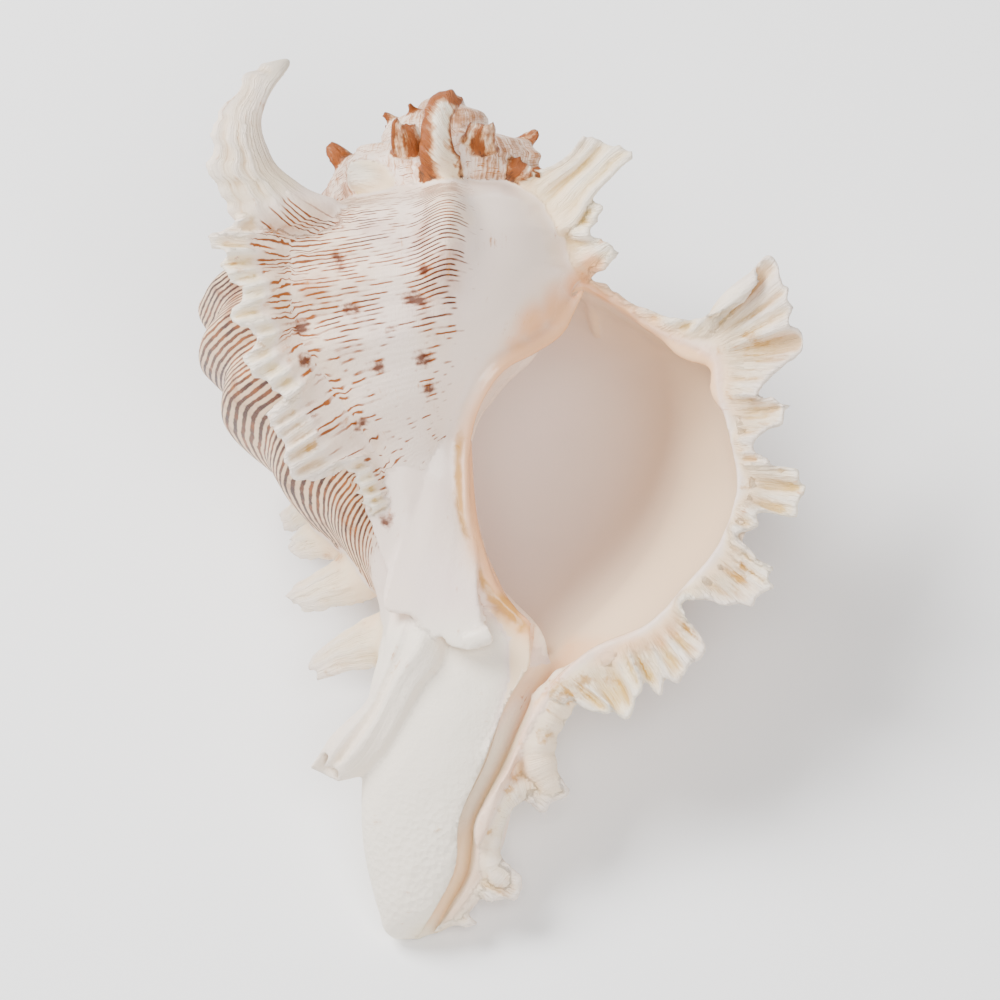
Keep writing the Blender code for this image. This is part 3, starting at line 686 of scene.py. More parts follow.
def growSpire(sheets, drape):
    foot = drape.depth(*spire["foot"])
    left = evenPath(np.array(spire["frondLeft"]) + [0, 0, foot], 80)
    right = evenPath(np.array(spire["frondRight"]) + [0, 0, foot], 80)
    left[:, :2] += 2.0 * np.stack([wobble(left, 7, 3.0), wobble(left, 7, 9.0)], 1)
    width = np.linalg.norm(left - right, axis=1)[:, None]
    leaf(sheets, left, right, 26,
         lambda u, v: 0.28 * width * np.sin(math.pi * v) + 1.2 * np.cos(u * 60) * (1 - v) ** 2,
         lambda u, v: 12 - 4 * u, serrate=0.2, furrow=lambda u, v: u * 90 + v * 30, tip=lambda u, v: u,
         brown=lambda u, v: np.maximum.reduce([1 - (v / 0.5) ** 2, ease((u - 0.70) / 0.14),
                                               0.8 * ease((v - 0.84) / 0.12), 0.30 + 0 * v]))
    rod(sheets, np.array(spire["fold"]) + [0, 0, foot], spire["foldRadii"], brown=0.9, frond=1.0)
    for i, (leftSide, rightSide, lift) in enumerate(spire["knobs"]):
        depth = drape.depth((leftSide[0][0] + rightSide[0][0]) / 2, leftSide[0][1] - 2, lift)
        a = np.column_stack([evenPath(leftSide, 36), np.linspace(depth - 8, depth + 8, 36)])
        b = np.column_stack([evenPath(rightSide, 36), np.linspace(depth - 8, depth + 8, 36)])
        leaf(sheets, a, b, 26, lambda u, v: 5 * np.sin(math.pi * v) + 2.2 * np.cos(v * 17 + i) * u,
             lambda u, v: 15 - 5 * u, serrate=0.3, furrow=lambda u, v: v * 50, tip=lambda u, v: u,
             brown=lambda u, v: 0.75 + 0.25 * np.cos(v * 9 + i * 2))
    third = growthWay(590)
    frond(sheets, (392, 186, drape.depth(392, 186) - 8), (366, 172, 34), (343, 180, 30), 52, third,
          thick=13, flutes=1, seed=45.0)
    row = spire["spineRow"]
    for i, growth in enumerate(range(400, 1000, spire["spineEvery"])):  # small spines round the older whorls
        radius, drop = whorlSection(growth, 101)
        root = onWhorl(growth, radius[row] - 6, drop[row])
        size = whorls["growth"] ** (-growth / 360)
        tip = onWhorl(growth, radius[row] + 46 * size, drop[row] - 60 * size)
        if root[2] < -30:
            frond(sheets, root, (root + tip) / 2 + (tip - root) * 0.1, tip, 80 * size, growthWay(growth),
                  thick=10, seed=50.0 + i, brown=0.9)


firstVarix = {
    # share down the outline, bend, tip, width
    "spine": (0.24, (318, 306, -366), (304, 170, -322), 104),
    "fronds": ((0.33, (316, 366, -296), (300, 346, -306), 50),
               (0.41, (304, 410, -290), (286, 400, -300), 52),
               (0.50, (298, 464, -266), (280, 466, -278), 54),
               (0.59, (300, 512, -196), (276, 524, -210), 54),
               (0.66, (312, 534, -130), (284, 554, -142), 62),
               (0.75, (330, 584, -98), (282, 604, -112), 66),
               (0.90, (350, 640, -50), (304, 676, -66), 66)),
}


def growFirstVarix(sheets):
    first = growthWay(130)
    share, bend, tip, width = firstVarix["spine"]
    frond(sheets, varixRoot(0, share, 20), bend, tip, width, first, tipShare=0.2, bow=0.25, thick=12,
          taper=0.8, flutes=5, seed=1.3)
    for i, (share, bend, tip, width) in enumerate(firstVarix["fronds"]):
        frond(sheets, varixRoot(0, share), bend, tip, width, first, thick=11, seed=2.1 + i * 1.7)


# a round bead along a path of (x, y, z), with a radius for each point of the list
def rod(sheets, path, radii, flat=1.0, wrinkle=0.0, **values):
    path = np.column_stack([np.array(path, float), radii])
    length = np.linalg.norm(np.diff(path[:, :3], axis=0), axis=1).sum()
    line = evenPath(path, int(length / 2.5) + 4)
    line, radius = line[:, :3], line[:, 3]
    forward = np.gradient(line, axis=0)
    forward /= np.linalg.norm(forward, axis=1)[:, None]
    side = np.cross(forward, [0, 0, 1.0])
    side /= np.linalg.norm(side, axis=1)[:, None] + 1e-9
    up = np.cross(side, forward)
    radius = radius * (1 + wrinkle * np.sin(np.cumsum(0.75 + 0.5 * wobble(line, 14, 5.0))))
    turn = np.linspace(0, 2 * math.pi, 16, endpoint=False)
    if "furrow" not in values:
        values["furrow"] = (np.arange(len(line)) * 2.5)[:, None]
    rings = line[:, None] + radius[:, None, None] * (
        side[:, None] * np.cos(turn)[None, :, None] + up[:, None] * np.sin(turn)[None, :, None] * flat)
    sheets.tube(rings, {"sheet": 1.0, **values})


rightWall = {
    # three rolled folds of the wall to the right of the canal's slit, with the frill outside them
    "foldOne": ((606, 664, 50), (584, 674, 54), (563, 690, 57), (547, 711, 58), (538, 734, 58),
                (538, 756, 58), (546, 776, 57), (556, 792, 54)),
    "foldOneRadii": (12, 17, 20, 21, 20, 18, 14, 8),
    "foldTwo": ((548, 796, 46), (532, 786, 50), (513, 790, 54), (498, 804, 56), (490, 824, 55),
                (488, 848, 54), (493, 868, 52), (508, 882, 50)),
    "foldTwoRadii": (6, 11, 14, 15, 14.5, 13, 12, 8),
    "foldThree": ((482, 884, 46), (466, 900, 44), (450, 916, 40), (436, 928, 34)),
    "foldThreeRadii": (8, 8, 7, 5),
    "outline": ((573, 698, 54), (563, 703, 58), (561, 709, 60), (564, 720, 62), (550, 722, 60),
                (539, 736, 58), (534, 746, 58), (544, 765, 62), (560, 780, 62), (567, 795, 60),
                (552, 801, 58), (544, 811, 58), (533, 803, 58), (514, 794, 56), (504, 805, 54),
                (493, 828, 52), (494, 845, 52), (501, 856, 54), (518, 875, 56), (520, 881, 56),
                (515, 898, 54), (501, 897, 52), (489, 901, 50), (473, 893, 48), (463, 897, 46),
                (466, 909, 46), (472, 922, 46), (464, 926, 44), (450, 924, 42), (434, 934, 38)),
    "root": ((570, 676, 40), (536, 704, 42), (518, 744, 42), (506, 780, 40), (486, 812, 40),
             (478, 850, 38), (466, 884, 34), (436, 924, 28)),
}


def growRightWall(sheets):
    rod(sheets, rightWall["foldOne"], rightWall["foldOneRadii"], 0.9, wrinkle=0.07, frond=0.6, tip=0.3)
    rod(sheets, rightWall["foldTwo"], rightWall["foldTwoRadii"], 0.9, wrinkle=0.07, frond=0.6, tip=0.5)
    rod(sheets, rightWall["foldThree"], rightWall["foldThreeRadii"], 0.9, frond=0.5, tip=0.6)
    inner = evenPath(rightWall["root"], 120)
    outer = evenPath(rightWall["outline"], 260, soft=3)
    frill(sheets, inner, outer,
          lambda u, v, reach, length: 0.10 * reach * np.sin(math.pi * v) + 1.3 * np.cos(length / 2.2) * v,
          lambda u, v: 15 - 8 * v, 2.6, columns=20)


oldCanal = {
    # the end of an earlier canal, a rolled trough that lies on the neck of the new one
    "left": ((402, 580, 40), (392, 606, 44), (387, 632, 54), (384, 660, 54), (369, 699, 50),
             (348, 720, 46), (331, 736, 44), (322, 750, 43), (310, 767, 42)),
    "right": ((458, 606, 48), (450, 636, 60), (440, 664, 73), (421, 684, 76), (405, 716, 74),
              (390, 748, 66), (378, 764, 58), (362, 775, 50), (338, 781, 46)),
}


def growOldCanal(sheets):
    left, right = evenPath(oldCanal["left"], 90), evenPath(oldCanal["right"], 90)
    width = np.linalg.norm(left - right, axis=1)[:, None]

    def front(u, v):
        fold = -7 * np.exp(-(((v - 0.36 - 0.1 * u) / 0.10) ** 2)) + 2.5 * np.cos(v * 17 + u * 3)
        return 0.30 * width * np.sin(math.pi * v) ** 0.8 + fold * np.sin(math.pi * v) * ease(u * 2.5)

    look = {"furrow": lambda u, v: v * 70, "tip": lambda u, v: 0.4 + 0.5 * u,
            "frond": lambda u, v: 0.12 + 0.3 * u ** 2 + 0 * v}
    leaf(sheets, left, right, 40, front, lambda u, v: 9 - 3 * u, serrate=0.14, **look)
    leaf(sheets, left, right, 40, lambda u, v: -0.28 * width * np.sin(math.pi * v),
         lambda u, v: 9 - 2 * u, **look)


columella = {
    "edge": ((590, 290), (577, 312), (562, 332), (538, 348), (512, 362), (492, 384), (477, 416),
             (471, 452), (471, 486), (474, 520), (481, 552), (494, 580), (512, 604), (538, 627)),
    "beadRadii": ((0, 3), (0.1, 8), (0.4, 8), (1, 6)),  # share along the edge, radius
    "tooth": ((590, 292), (592, 306), (595, 322), (597, 336)),  # in the aperture's upper corner
    "toothRadii": (3, 5.5, 5.5, 2.5),
}


def columellaPath(drape):  # the surface just outside the edge gives its depth
    flat = evenPath(columella["edge"], 110)
    depth = np.array([drape.depth(x - 18, y - 4) for x, y in flat])
    depth = np.convolve(np.pad(depth, 8, mode="edge"), np.ones(17) / 17, mode="valid")
    return np.column_stack([flat, depth])


def growColumellaEdge(sheets, drape):
    line = columellaPath(drape) - [8, 0, 4]
    radii = np.interp(np.linspace(0, 1, len(line)), *np.array(columella["beadRadii"]).T)
    rod(sheets, line, radii, 0.9, growth=0.85, share=1.0, inner=0.3)
    rod(sheets, drape.line(columella["tooth"], 1.0), columella["toothRadii"], 1.0, inner=0.8)


surface = {
    "voxel": 0.00066,
    "quickVoxel": 0.0011,
    "mostTriangles": 196000,
    "margin": 0.0001,  # metres inside the frame's box
    "pressZone": 0.003,
    "pressZoneBelow": 0.0004,
    "grooveDepth": 0.00030,  # metres, counts as a full groove
}


def toMetres(points):
    step, middle = grid["step"], grid["middle"]
    return (np.asarray(points, float) - [middle, middle, 0]) * [step, -step, step]


def layDown(points):  # from the grid to the place in the frame
    turn = np.array(Euler([math.radians(a) for a in grid["restTurn"]]).to_matrix())
    return toMetres(points) @ turn.T + np.array(grid["restShift"])


def toGrid(points):
    turn = np.array(Euler([math.radians(a) for a in grid["restTurn"]]).to_matrix())
    step, middle = grid["step"], grid["middle"]
    return ((points - np.array(grid["restShift"])) @ turn) / [step, -step, step] + [middle, middle, 0]


def makeObject(name, sheets):
    mesh = bpy.data.meshes.new(name)
    mesh.from_pydata([tuple(p) for p in layDown(np.concatenate(sheets.points))], [], sheets.faces)
    made = bpy.data.objects.new(name, mesh)
    bpy.context.collection.objects.link(made)
    bpy.ops.object.select_all(action="DESELECT")
    made.select_set(True)
    bpy.context.view_layer.objects.active = made
    bpy.ops.object.mode_set(mode="EDIT")
    bpy.ops.mesh.select_all(action="SELECT")
    bpy.ops.mesh.normals_make_consistent(inside=False)
    bpy.ops.object.mode_set(mode="OBJECT")
    return made


def applyModifier(made, kind, name, **settings):
    bpy.ops.object.select_all(action="DESELECT")
    made.select_set(True)
    bpy.context.view_layer.objects.active = made
    modifier = made.modifiers.new(name, kind)
    for key, value in settings.items():
        setattr(modifier, key, value)
    bpy.ops.object.modifier_apply(modifier=modifier.name)


def triangleCount(made):
    return sum(len(face.vertices) - 2 for face in made.data.polygons)


def keepLargest(made):  # thinning leaves a few loose flakes
    bpy.ops.object.select_all(action="DESELECT")
    made.select_set(True)
    bpy.context.view_layer.objects.active = made
    before = set(bpy.context.scene.objects)
    bpy.ops.object.mode_set(mode="EDIT")
    bpy.ops.mesh.separate(type="LOOSE")
    bpy.ops.object.mode_set(mode="OBJECT")
    parts = [o for o in bpy.context.scene.objects if o not in before] + [made]
    largest = max(parts, key=lambda o: len(o.data.vertices))
    for part in parts:
        if part is not largest:
            bpy.data.objects.remove(part)
    return largest


def fuse(sheets):
    shell = makeObject("murexShell", sheets)
    voxel = surface["voxel"]
    applyModifier(shell, "REMESH", "fuse", mode="VOXEL", voxel_size=voxel)
    print("fused", triangleCount(shell))
    cutter = makeObject("channelCutter", channelCutter())
    applyModifier(shell, "BOOLEAN", "channel", operation="DIFFERENCE", object=cutter, solver="MANIFOLD")
    bpy.data.objects.remove(cutter)
    applyModifier(shell, "SMOOTH", "soften", factor=0.5, iterations=2)
    print("cut", triangleCount(shell))
    ratio = min(1.0, surface["mostTriangles"] / triangleCount(shell))
    applyModifier(shell, "DECIMATE", "thin", ratio=ratio, use_collapse_triangulate=True)
    shell = keepLargest(shell)
    shell.name = shell.data.name = "murexShell"
    print("thinned", triangleCount(shell))
    return shell


def spread(shell, values, times):  # each vertex takes the mean of its neighbours, again and again
    edges = np.empty(len(shell.data.edges) * 2, np.int32)
    shell.data.edges.foreach_get("vertices", edges)
    a, b = edges.reshape(-1, 2).T
    count = len(shell.data.vertices)
    links = np.bincount(a, minlength=count) + np.bincount(b, minlength=count)
    for _ in range(times):
        total = np.bincount(a, values[b], count) + np.bincount(b, values[a], count)
        values = 0.5 * values + 0.5 * total / np.maximum(links, 1)
    return values


def softenJoints(shell, sheet):  # where a frond or frill leaves the shell there is no sharp corner
    near = spread(shell, (sheet > 0.5).astype(float), 16)
    weight = np.clip(4 * near * (1 - near) * 1.3, 0, 1)
    group = shell.vertex_groups.new(name="joints")
    for i in np.nonzero(weight > 0.08)[0]:
        group.add([int(i)], float(weight[i]), "REPLACE")
    applyModifier(shell, "SMOOTH", "joints", factor=0.6, iterations=18, vertex_group="joints")
    shell.vertex_groups.clear()
    return near


def corners(shell):  # the places of its vertices, in metres
    at = np.empty(len(shell.data.vertices) * 3, np.float32)
    shell.data.vertices.foreach_get("co", at)
    return at.reshape(-1, 3)


def pressInside(shell):  # a few tips reach past the frame's box by a millimetre
    at = corners(shell).astype(float)
    for k in range(3):
        below = surface["pressZoneBelow"] if k == 2 else surface["pressZone"]
        for sign, limit, zone in ((1, cadHigh[k] - surface["margin"], surface["pressZone"]),
                                  (-1, cadLow[k], below)):
            beyond = sign * (at[:, k] - limit) + zone
            pressed = limit + sign * (zone * np.tanh(beyond / zone) - zone)
            at[:, k] = np.where(beyond > 0, pressed, at[:, k])
    shell.data.vertices.foreach_set("co", at.ravel().astype(np.float32))
    shell.data.update()


def carryValues(shell, sheets):  # each vertex takes the values of the nearest place on the grown shapes
    points = layDown(np.concatenate(sheets.points))
    values = np.concatenate(sheets.values)
    triangles = []
    for face in sheets.faces:
        if len(face) <= 4:
            triangles += [(face[0], face[k], face[k + 1]) for k in range(1, len(face) - 1)]
    triangles = np.array(triangles)
    tree = BVHTree.FromPolygons([tuple(p) for p in points], [tuple(t) for t in triangles.tolist()])
    at = corners(shell)
    found = [tree.find_nearest(p) for p in at.tolist()]
    spot = np.array([f[0] for f in found])
    hit = triangles[[f[2] for f in found]]
    a, b, c = points[hit[:, 0]], points[hit[:, 1]], points[hit[:, 2]]
    ab, ac, ap = b - a, c - a, spot - a
    d00, d01, d11 = (ab * ab).sum(1), (ab * ac).sum(1), (ac * ac).sum(1)
    d20, d21 = (ap * ab).sum(1), (ap * ac).sum(1)
    scale = np.maximum(d00 * d11 - d01 * d01, 1e-18)
    v = np.clip((d11 * d20 - d01 * d21) / scale, 0, 1)
    w = np.clip((d00 * d21 - d01 * d20) / scale, 0, 1)
    u = np.clip(1 - v - w, 0, 1)
    weights = np.stack([u, v, w], 1)
    weights /= weights.sum(1)[:, None]
    carried = (values[hit] * weights[..., None]).sum(1)
    return toGrid(at), dict(zip(channels, carried.T))


def setAttribute(shell, name, values):
    attribute = shell.data.attributes.new(name, "FLOAT", "POINT")
    attribute.data.foreach_set("value", np.asarray(values, np.float32))


sheets = Sheets()
growLastWhorl(sheets)
growOlderWhorls(sheets)
growCanal(sheets)
plainShell = Drape(sheets)
rimLine = growLip(sheets)
growFlounce(sheets, plainShell)
growHorn(sheets, plainShell)
growFlap(sheets, plainShell)
growThirdVarix(sheets, plainShell)
growSpire(sheets, plainShell)
growFirstVarix(sheets)
growRightWall(sheets)
growOldCanal(sheets)
growColumellaEdge(sheets, plainShell)
print("grown", sheets.count, "points")
shell = fuse(sheets)
places, carried = carryValues(shell, sheets)
nearSheet = softenJoints(shell, carried["sheet"])
pressInside(shell)
for name, times in (("frond", 5), ("inner", 3), ("tip", 4)):
    carried[name] = spread(shell, carried[name], times)
setAttribute(shell, "seam", 4 * nearSheet * (1 - nearSheet) * (1 - 0.6 * (carried["share"] > 0.001)))
for name in channels:
    setAttribute(shell, name, carried[name])
bpy.ops.object.select_all(action="DESELECT")
shell.select_set(True)
bpy.context.view_layer.objects.active = shell
bpy.ops.object.shade_smooth()
print("shell finished")

paint = {
    # front view places of dark spots, x, y and radius
    "spots": ((340, 258, 9), (353, 309, 10), (301, 328, 9), (308, 361, 9), (378, 367, 9), (414, 300, 9),
              (425, 359, 10), (430, 389, 8), (424, 272, 8), (262, 346, 9), (387, 520, 7), (346, 270, 7),
              (424, 303, 8), (392, 330, 6), (340, 226, 6), (360, 425, 7), (360, 470, 6)),
    # ochre in the pits and grooves of the frills
    "ochre": ((556, 690, 26), (545, 735, 16), (512, 792, 14), (492, 830, 12), (752, 340, 16),
              (728, 395, 8), (550, 694, 12), (585, 680, 16), (315, 445, 12), (262, 346, 8), (437, 826, 7),
              (522, 742, 9), (745, 485, 12), (740, 572, 12), (690, 625, 14), (640, 662, 14),
              (720, 350, 10), (610, 678, 12), (500, 808, 10), (330, 676, 12)),
    "yellow": ((508, 604, 20),),  # on the plate beside the aperture's foot
    "peach": ((560, 312, 34), (582, 288, 28), (522, 352, 24), (535, 326, 30), (600, 300, 16),
              (592, 266, 16), (506, 372, 20)),
    # degrees back from the lip, and how strong the spiral lines are there
    "stripes": ((0, 0.0), (12, 0.75), (100, 0.85), (112, 0.7), (122, 0.25), (130, 0.9), (205, 1.0),
                (219, 0.9), (228, 0.50), (236, 0.68), (250, 0.62), (262, 0.46), (268, 0.48), (274, 0.72),
                (284, 0.64), (291, 0.38), (300, 0.12), (310, 0.0), (345, 0.02), (362, 0.3), (390, 0.5),
                (600, 0.5), (2000, 0.5)),
    # how far the paint reaches from the lip's rim, the columella, its ochre strip, and the slit, whose beige
    # is painted shade
    "rimReach": 20,
    "bandReach": 26,
    "stripReach": 6.5,
    "slitReach": 17,
}


def spots(name):
    made = np.zeros(len(places))
    for x, y, radius in paint[name]:
        flat = np.hypot(places[:, 0] - x, places[:, 1] - y)
        front = places[flat < 7, 2].max(initial=-400)
        away = np.hypot(flat, (places[:, 2] - front) * 0.7)
        made = np.maximum(made, np.exp(-((away / radius) ** 2)) * facingViewer)
    return made


def nearLine(line, reach):
    line = np.asarray(line, float)
    found = np.full(len(places), 1e9)
    for first in range(0, len(places), 20000):
        part = places[first: first + 20000]
        found[first: first + 20000] = np.linalg.norm(part[:, None] - line[None], axis=2).min(axis=1)
    return np.exp(-((found / reach) ** 2))


degrees, share = carried["growth"] * 360, carried["share"]
inner, frond = carried["inner"], carried["frond"]
normals = np.empty(len(shell.data.vertices) * 3, np.float32)
shell.data.vertices.foreach_get("normal", normals)
viewTurn = np.array(Euler([math.radians(a) for a in grid["restTurn"]]).to_matrix())
facingViewer = ease((normals.reshape(-1, 3) @ viewTurn)[:, 2] * 3)
columellaLine = columellaPath(plainShell)
channelRows = smoothPath(canal["channel"], 80)
slitLine = [(slit, y, z + 6) for y, slit, half, x, z, radius in channelRows]
leftOfSlit = ease((np.interp(places[:, 1], channelRows[:, 0], channelRows[:, 1]) - places[:, 0]) / 16 + 0.6)

# the spiral lines stay off the fronds, the glazed inside, the plain beads and the slit
stripe = np.interp(degrees, *np.array(paint["stripes"]).T)
stripe = stripe * ease(share * 12) * (1 - 0.9 * ease((share - 0.80) / 0.1))
lowered = 1 - 0.32 * ease((share - 0.42) / 0.25) * ease((degrees - 232) / 12)
stripe = stripe * lowered * (1 - ease(inner * 3)) * (1 - 0.9 * ease(frond * 1.3))
bare = spread(shell, ((carried["sheet"] > 0.5) & (share < 0.001)).astype(float), 5)
stripe = stripe * (1 - ease(bare * 5)) * (1 - ease(nearLine(slitLine, 30) * 4))
setAttribute(shell, "stripe", stripe)
setAttribute(shell, "dark", spots("spots"))
setAttribute(shell, "ochre", spots("ochre"))

# grooves are above 0 and ridges below; the shader paints shade into the frond folds and a highlight onto
# their crests from it
at = corners(shell).astype(float)
softened = np.stack([spread(shell, at[:, k], 14) for k in range(3)], 1)
hollow = ((softened - at) * normals.reshape(-1, 3)).sum(axis=1) / surface["grooveDepth"]
setAttribute(shell, "hollow", spread(shell, hollow, 1))

# the ochre strip beside the columella's edge, and the peach of the rims
ochreStrip = nearLine([(x - 12, y, z) for x, y, z in columellaLine[48:]], paint["stripReach"])
ochreStrip = ochreStrip * ease((places[:, 1] - 385) / 90)
setAttribute(shell, "strip", np.maximum(ochreStrip, spots("yellow")) * facingViewer)
strongest = hump(places[:, 1], 320, 70) + hump(places[:, 1], 640, 30)
bead = nearLine(rimLine, paint["rimReach"]) * (0.45 + 0.55 * strongest)
band = nearLine([(x + 8, y, z - 4) for x, y, z in columellaLine], paint["bandReach"])
besideSlit = 0.5 * (1 - leftOfSlit) * ease((places[:, 1] - 620) / 30) * facingViewer * (1 - frond)
setAttribute(shell, "peach", np.maximum.reduce([0.8 * bead, band, spots("peach"), besideSlit]))

# the glazed face and inside, the canal with its pitted end, and painted shade along the canal's slit
glaze = np.maximum(inner, hump(degrees, 318, 34) * (1 - frond) * ease((degrees - 262) / 30))
setAttribute(shell, "glaze", glaze)
canalPart = ease((places[:, 1] - 600) / 40) * (1 - ease(inner * 3)) * (1 - frond) * leftOfSlit
setAttribute(shell, "canal", canalPart)
setAttribute(shell, "pits", canalPart * ease((places[:, 1] - 740) / 110))
# the slit mask carries painted shade: a darker beige in that narrow groove
setAttribute(shell, "slit", nearLine(slitLine[16:], paint["slitReach"]))
setAttribute(shell, "lift", 0.030 * hump(degrees, 282, 9) * hump(share, 0.22, 0.22))
print("painted")


class Wire:  # a shader socket that takes part in sums
    def __init__(self, tree, socket=None):
        self.tree, self.socket = tree, socket

    def make(self, kind, settings=None, inputs=None, output=0):
        node = self.tree.nodes.new("ShaderNode" + kind)
        for name, value in (settings or {}).items():
            setattr(node, name, value)
        for name, value in (inputs or {}).items():
            if isinstance(value, Wire):
                self.tree.links.new(value.socket, node.inputs[name])
            else:
                node.inputs[name].default_value = value
        return Wire(self.tree, node.outputs[output])

    def maths(self, operation, *values):
        return self.make("Math", {"operation": operation}, dict(enumerate(values)))

    def __add__(self, other):
        return self.maths("ADD", self, other)

    def __radd__(self, other):
        return self.maths("ADD", other, self)

    def __sub__(self, other):
        return self.maths("SUBTRACT", self, other)

    def __rsub__(self, other):
        return self.maths("SUBTRACT", other, self)

    def __mul__(self, other):
        return self.maths("MULTIPLY", self, other)

    def __rmul__(self, other):
        return self.maths("MULTIPLY", other, self)

    def smooth(self, low, high):  # 0 below low and 1 above high
        return self.make("MapRange", {"interpolation_type": "SMOOTHSTEP"},
                         {"Value": self, "From Min": low, "From Max": high})

    def attribute(self, name):
        return self.make("Attribute", {"attribute_name": name}, output="Fac")

    def noise(self, vector, scale, detail=3.0, rough=0.5):
        return self.make("TexNoise", {}, {"Vector": vector, "Scale": scale, "Detail": detail,
                                          "Roughness": rough})

    def place(self, x, y=0.0, z=0.0):
        return self.make("CombineXYZ", {}, {"X": x, "Y": y, "Z": z})

    def mix(self, factor, first, second):
        node = self.tree.nodes.new("ShaderNodeMix")
        node.data_type = "RGBA"
        for socket, value in ((node.inputs[0], factor), (node.inputs[6], first), (node.inputs[7], second)):
            if isinstance(value, Wire):
                self.tree.links.new(value.socket, socket)
            else:
                socket.default_value = value
        return Wire(self.tree, node.outputs[2])


def colour(red, green, blue):  # from the 0 to 255 of a screen
    return tuple((c / 255) ** 2.2 for c in (red, green, blue)) + (1.0,)


finish = {
    "outer": colour(252, 230, 214),
    "warm": colour(240, 200, 152),
    "lilac": colour(246, 220, 216),
    "orangeLine": colour(152, 78, 6),
    "maroonLine": colour(62, 18, 4),
    "spotBrown": colour(84, 34, 8),
    "frond": colour(253, 232, 198),
    "groove": colour(196, 140, 36),
    # hollow: the fronds' ochre darkened in their folds as painted shade
    "hollow": colour(208, 170, 72),  # of the fronds' folds
    # crest: a painted highlight on the fronds' ridges
    "crest": colour(254, 244, 230),
    "amber": colour(196, 120, 26),
    "spire": colour(136, 66, 8),
    "spireDark": colour(56, 20, 3),
    # deep: the inside's pink, greyed as painted shade deep in the aperture
    "deep": colour(240, 216, 210),
    "inside": colour(246, 226, 214),
    "mouth": colour(253, 222, 184),
    "peach": colour(252, 180, 116),
    "ochre": colour(192, 134, 28),
    "canal": colour(252, 240, 222),
    # slit: painted shade, the darker beige of the canal's shaded slit
    "slit": colour(226, 200, 152),
    "lines": 102,  # spiral lines down a whorl
}


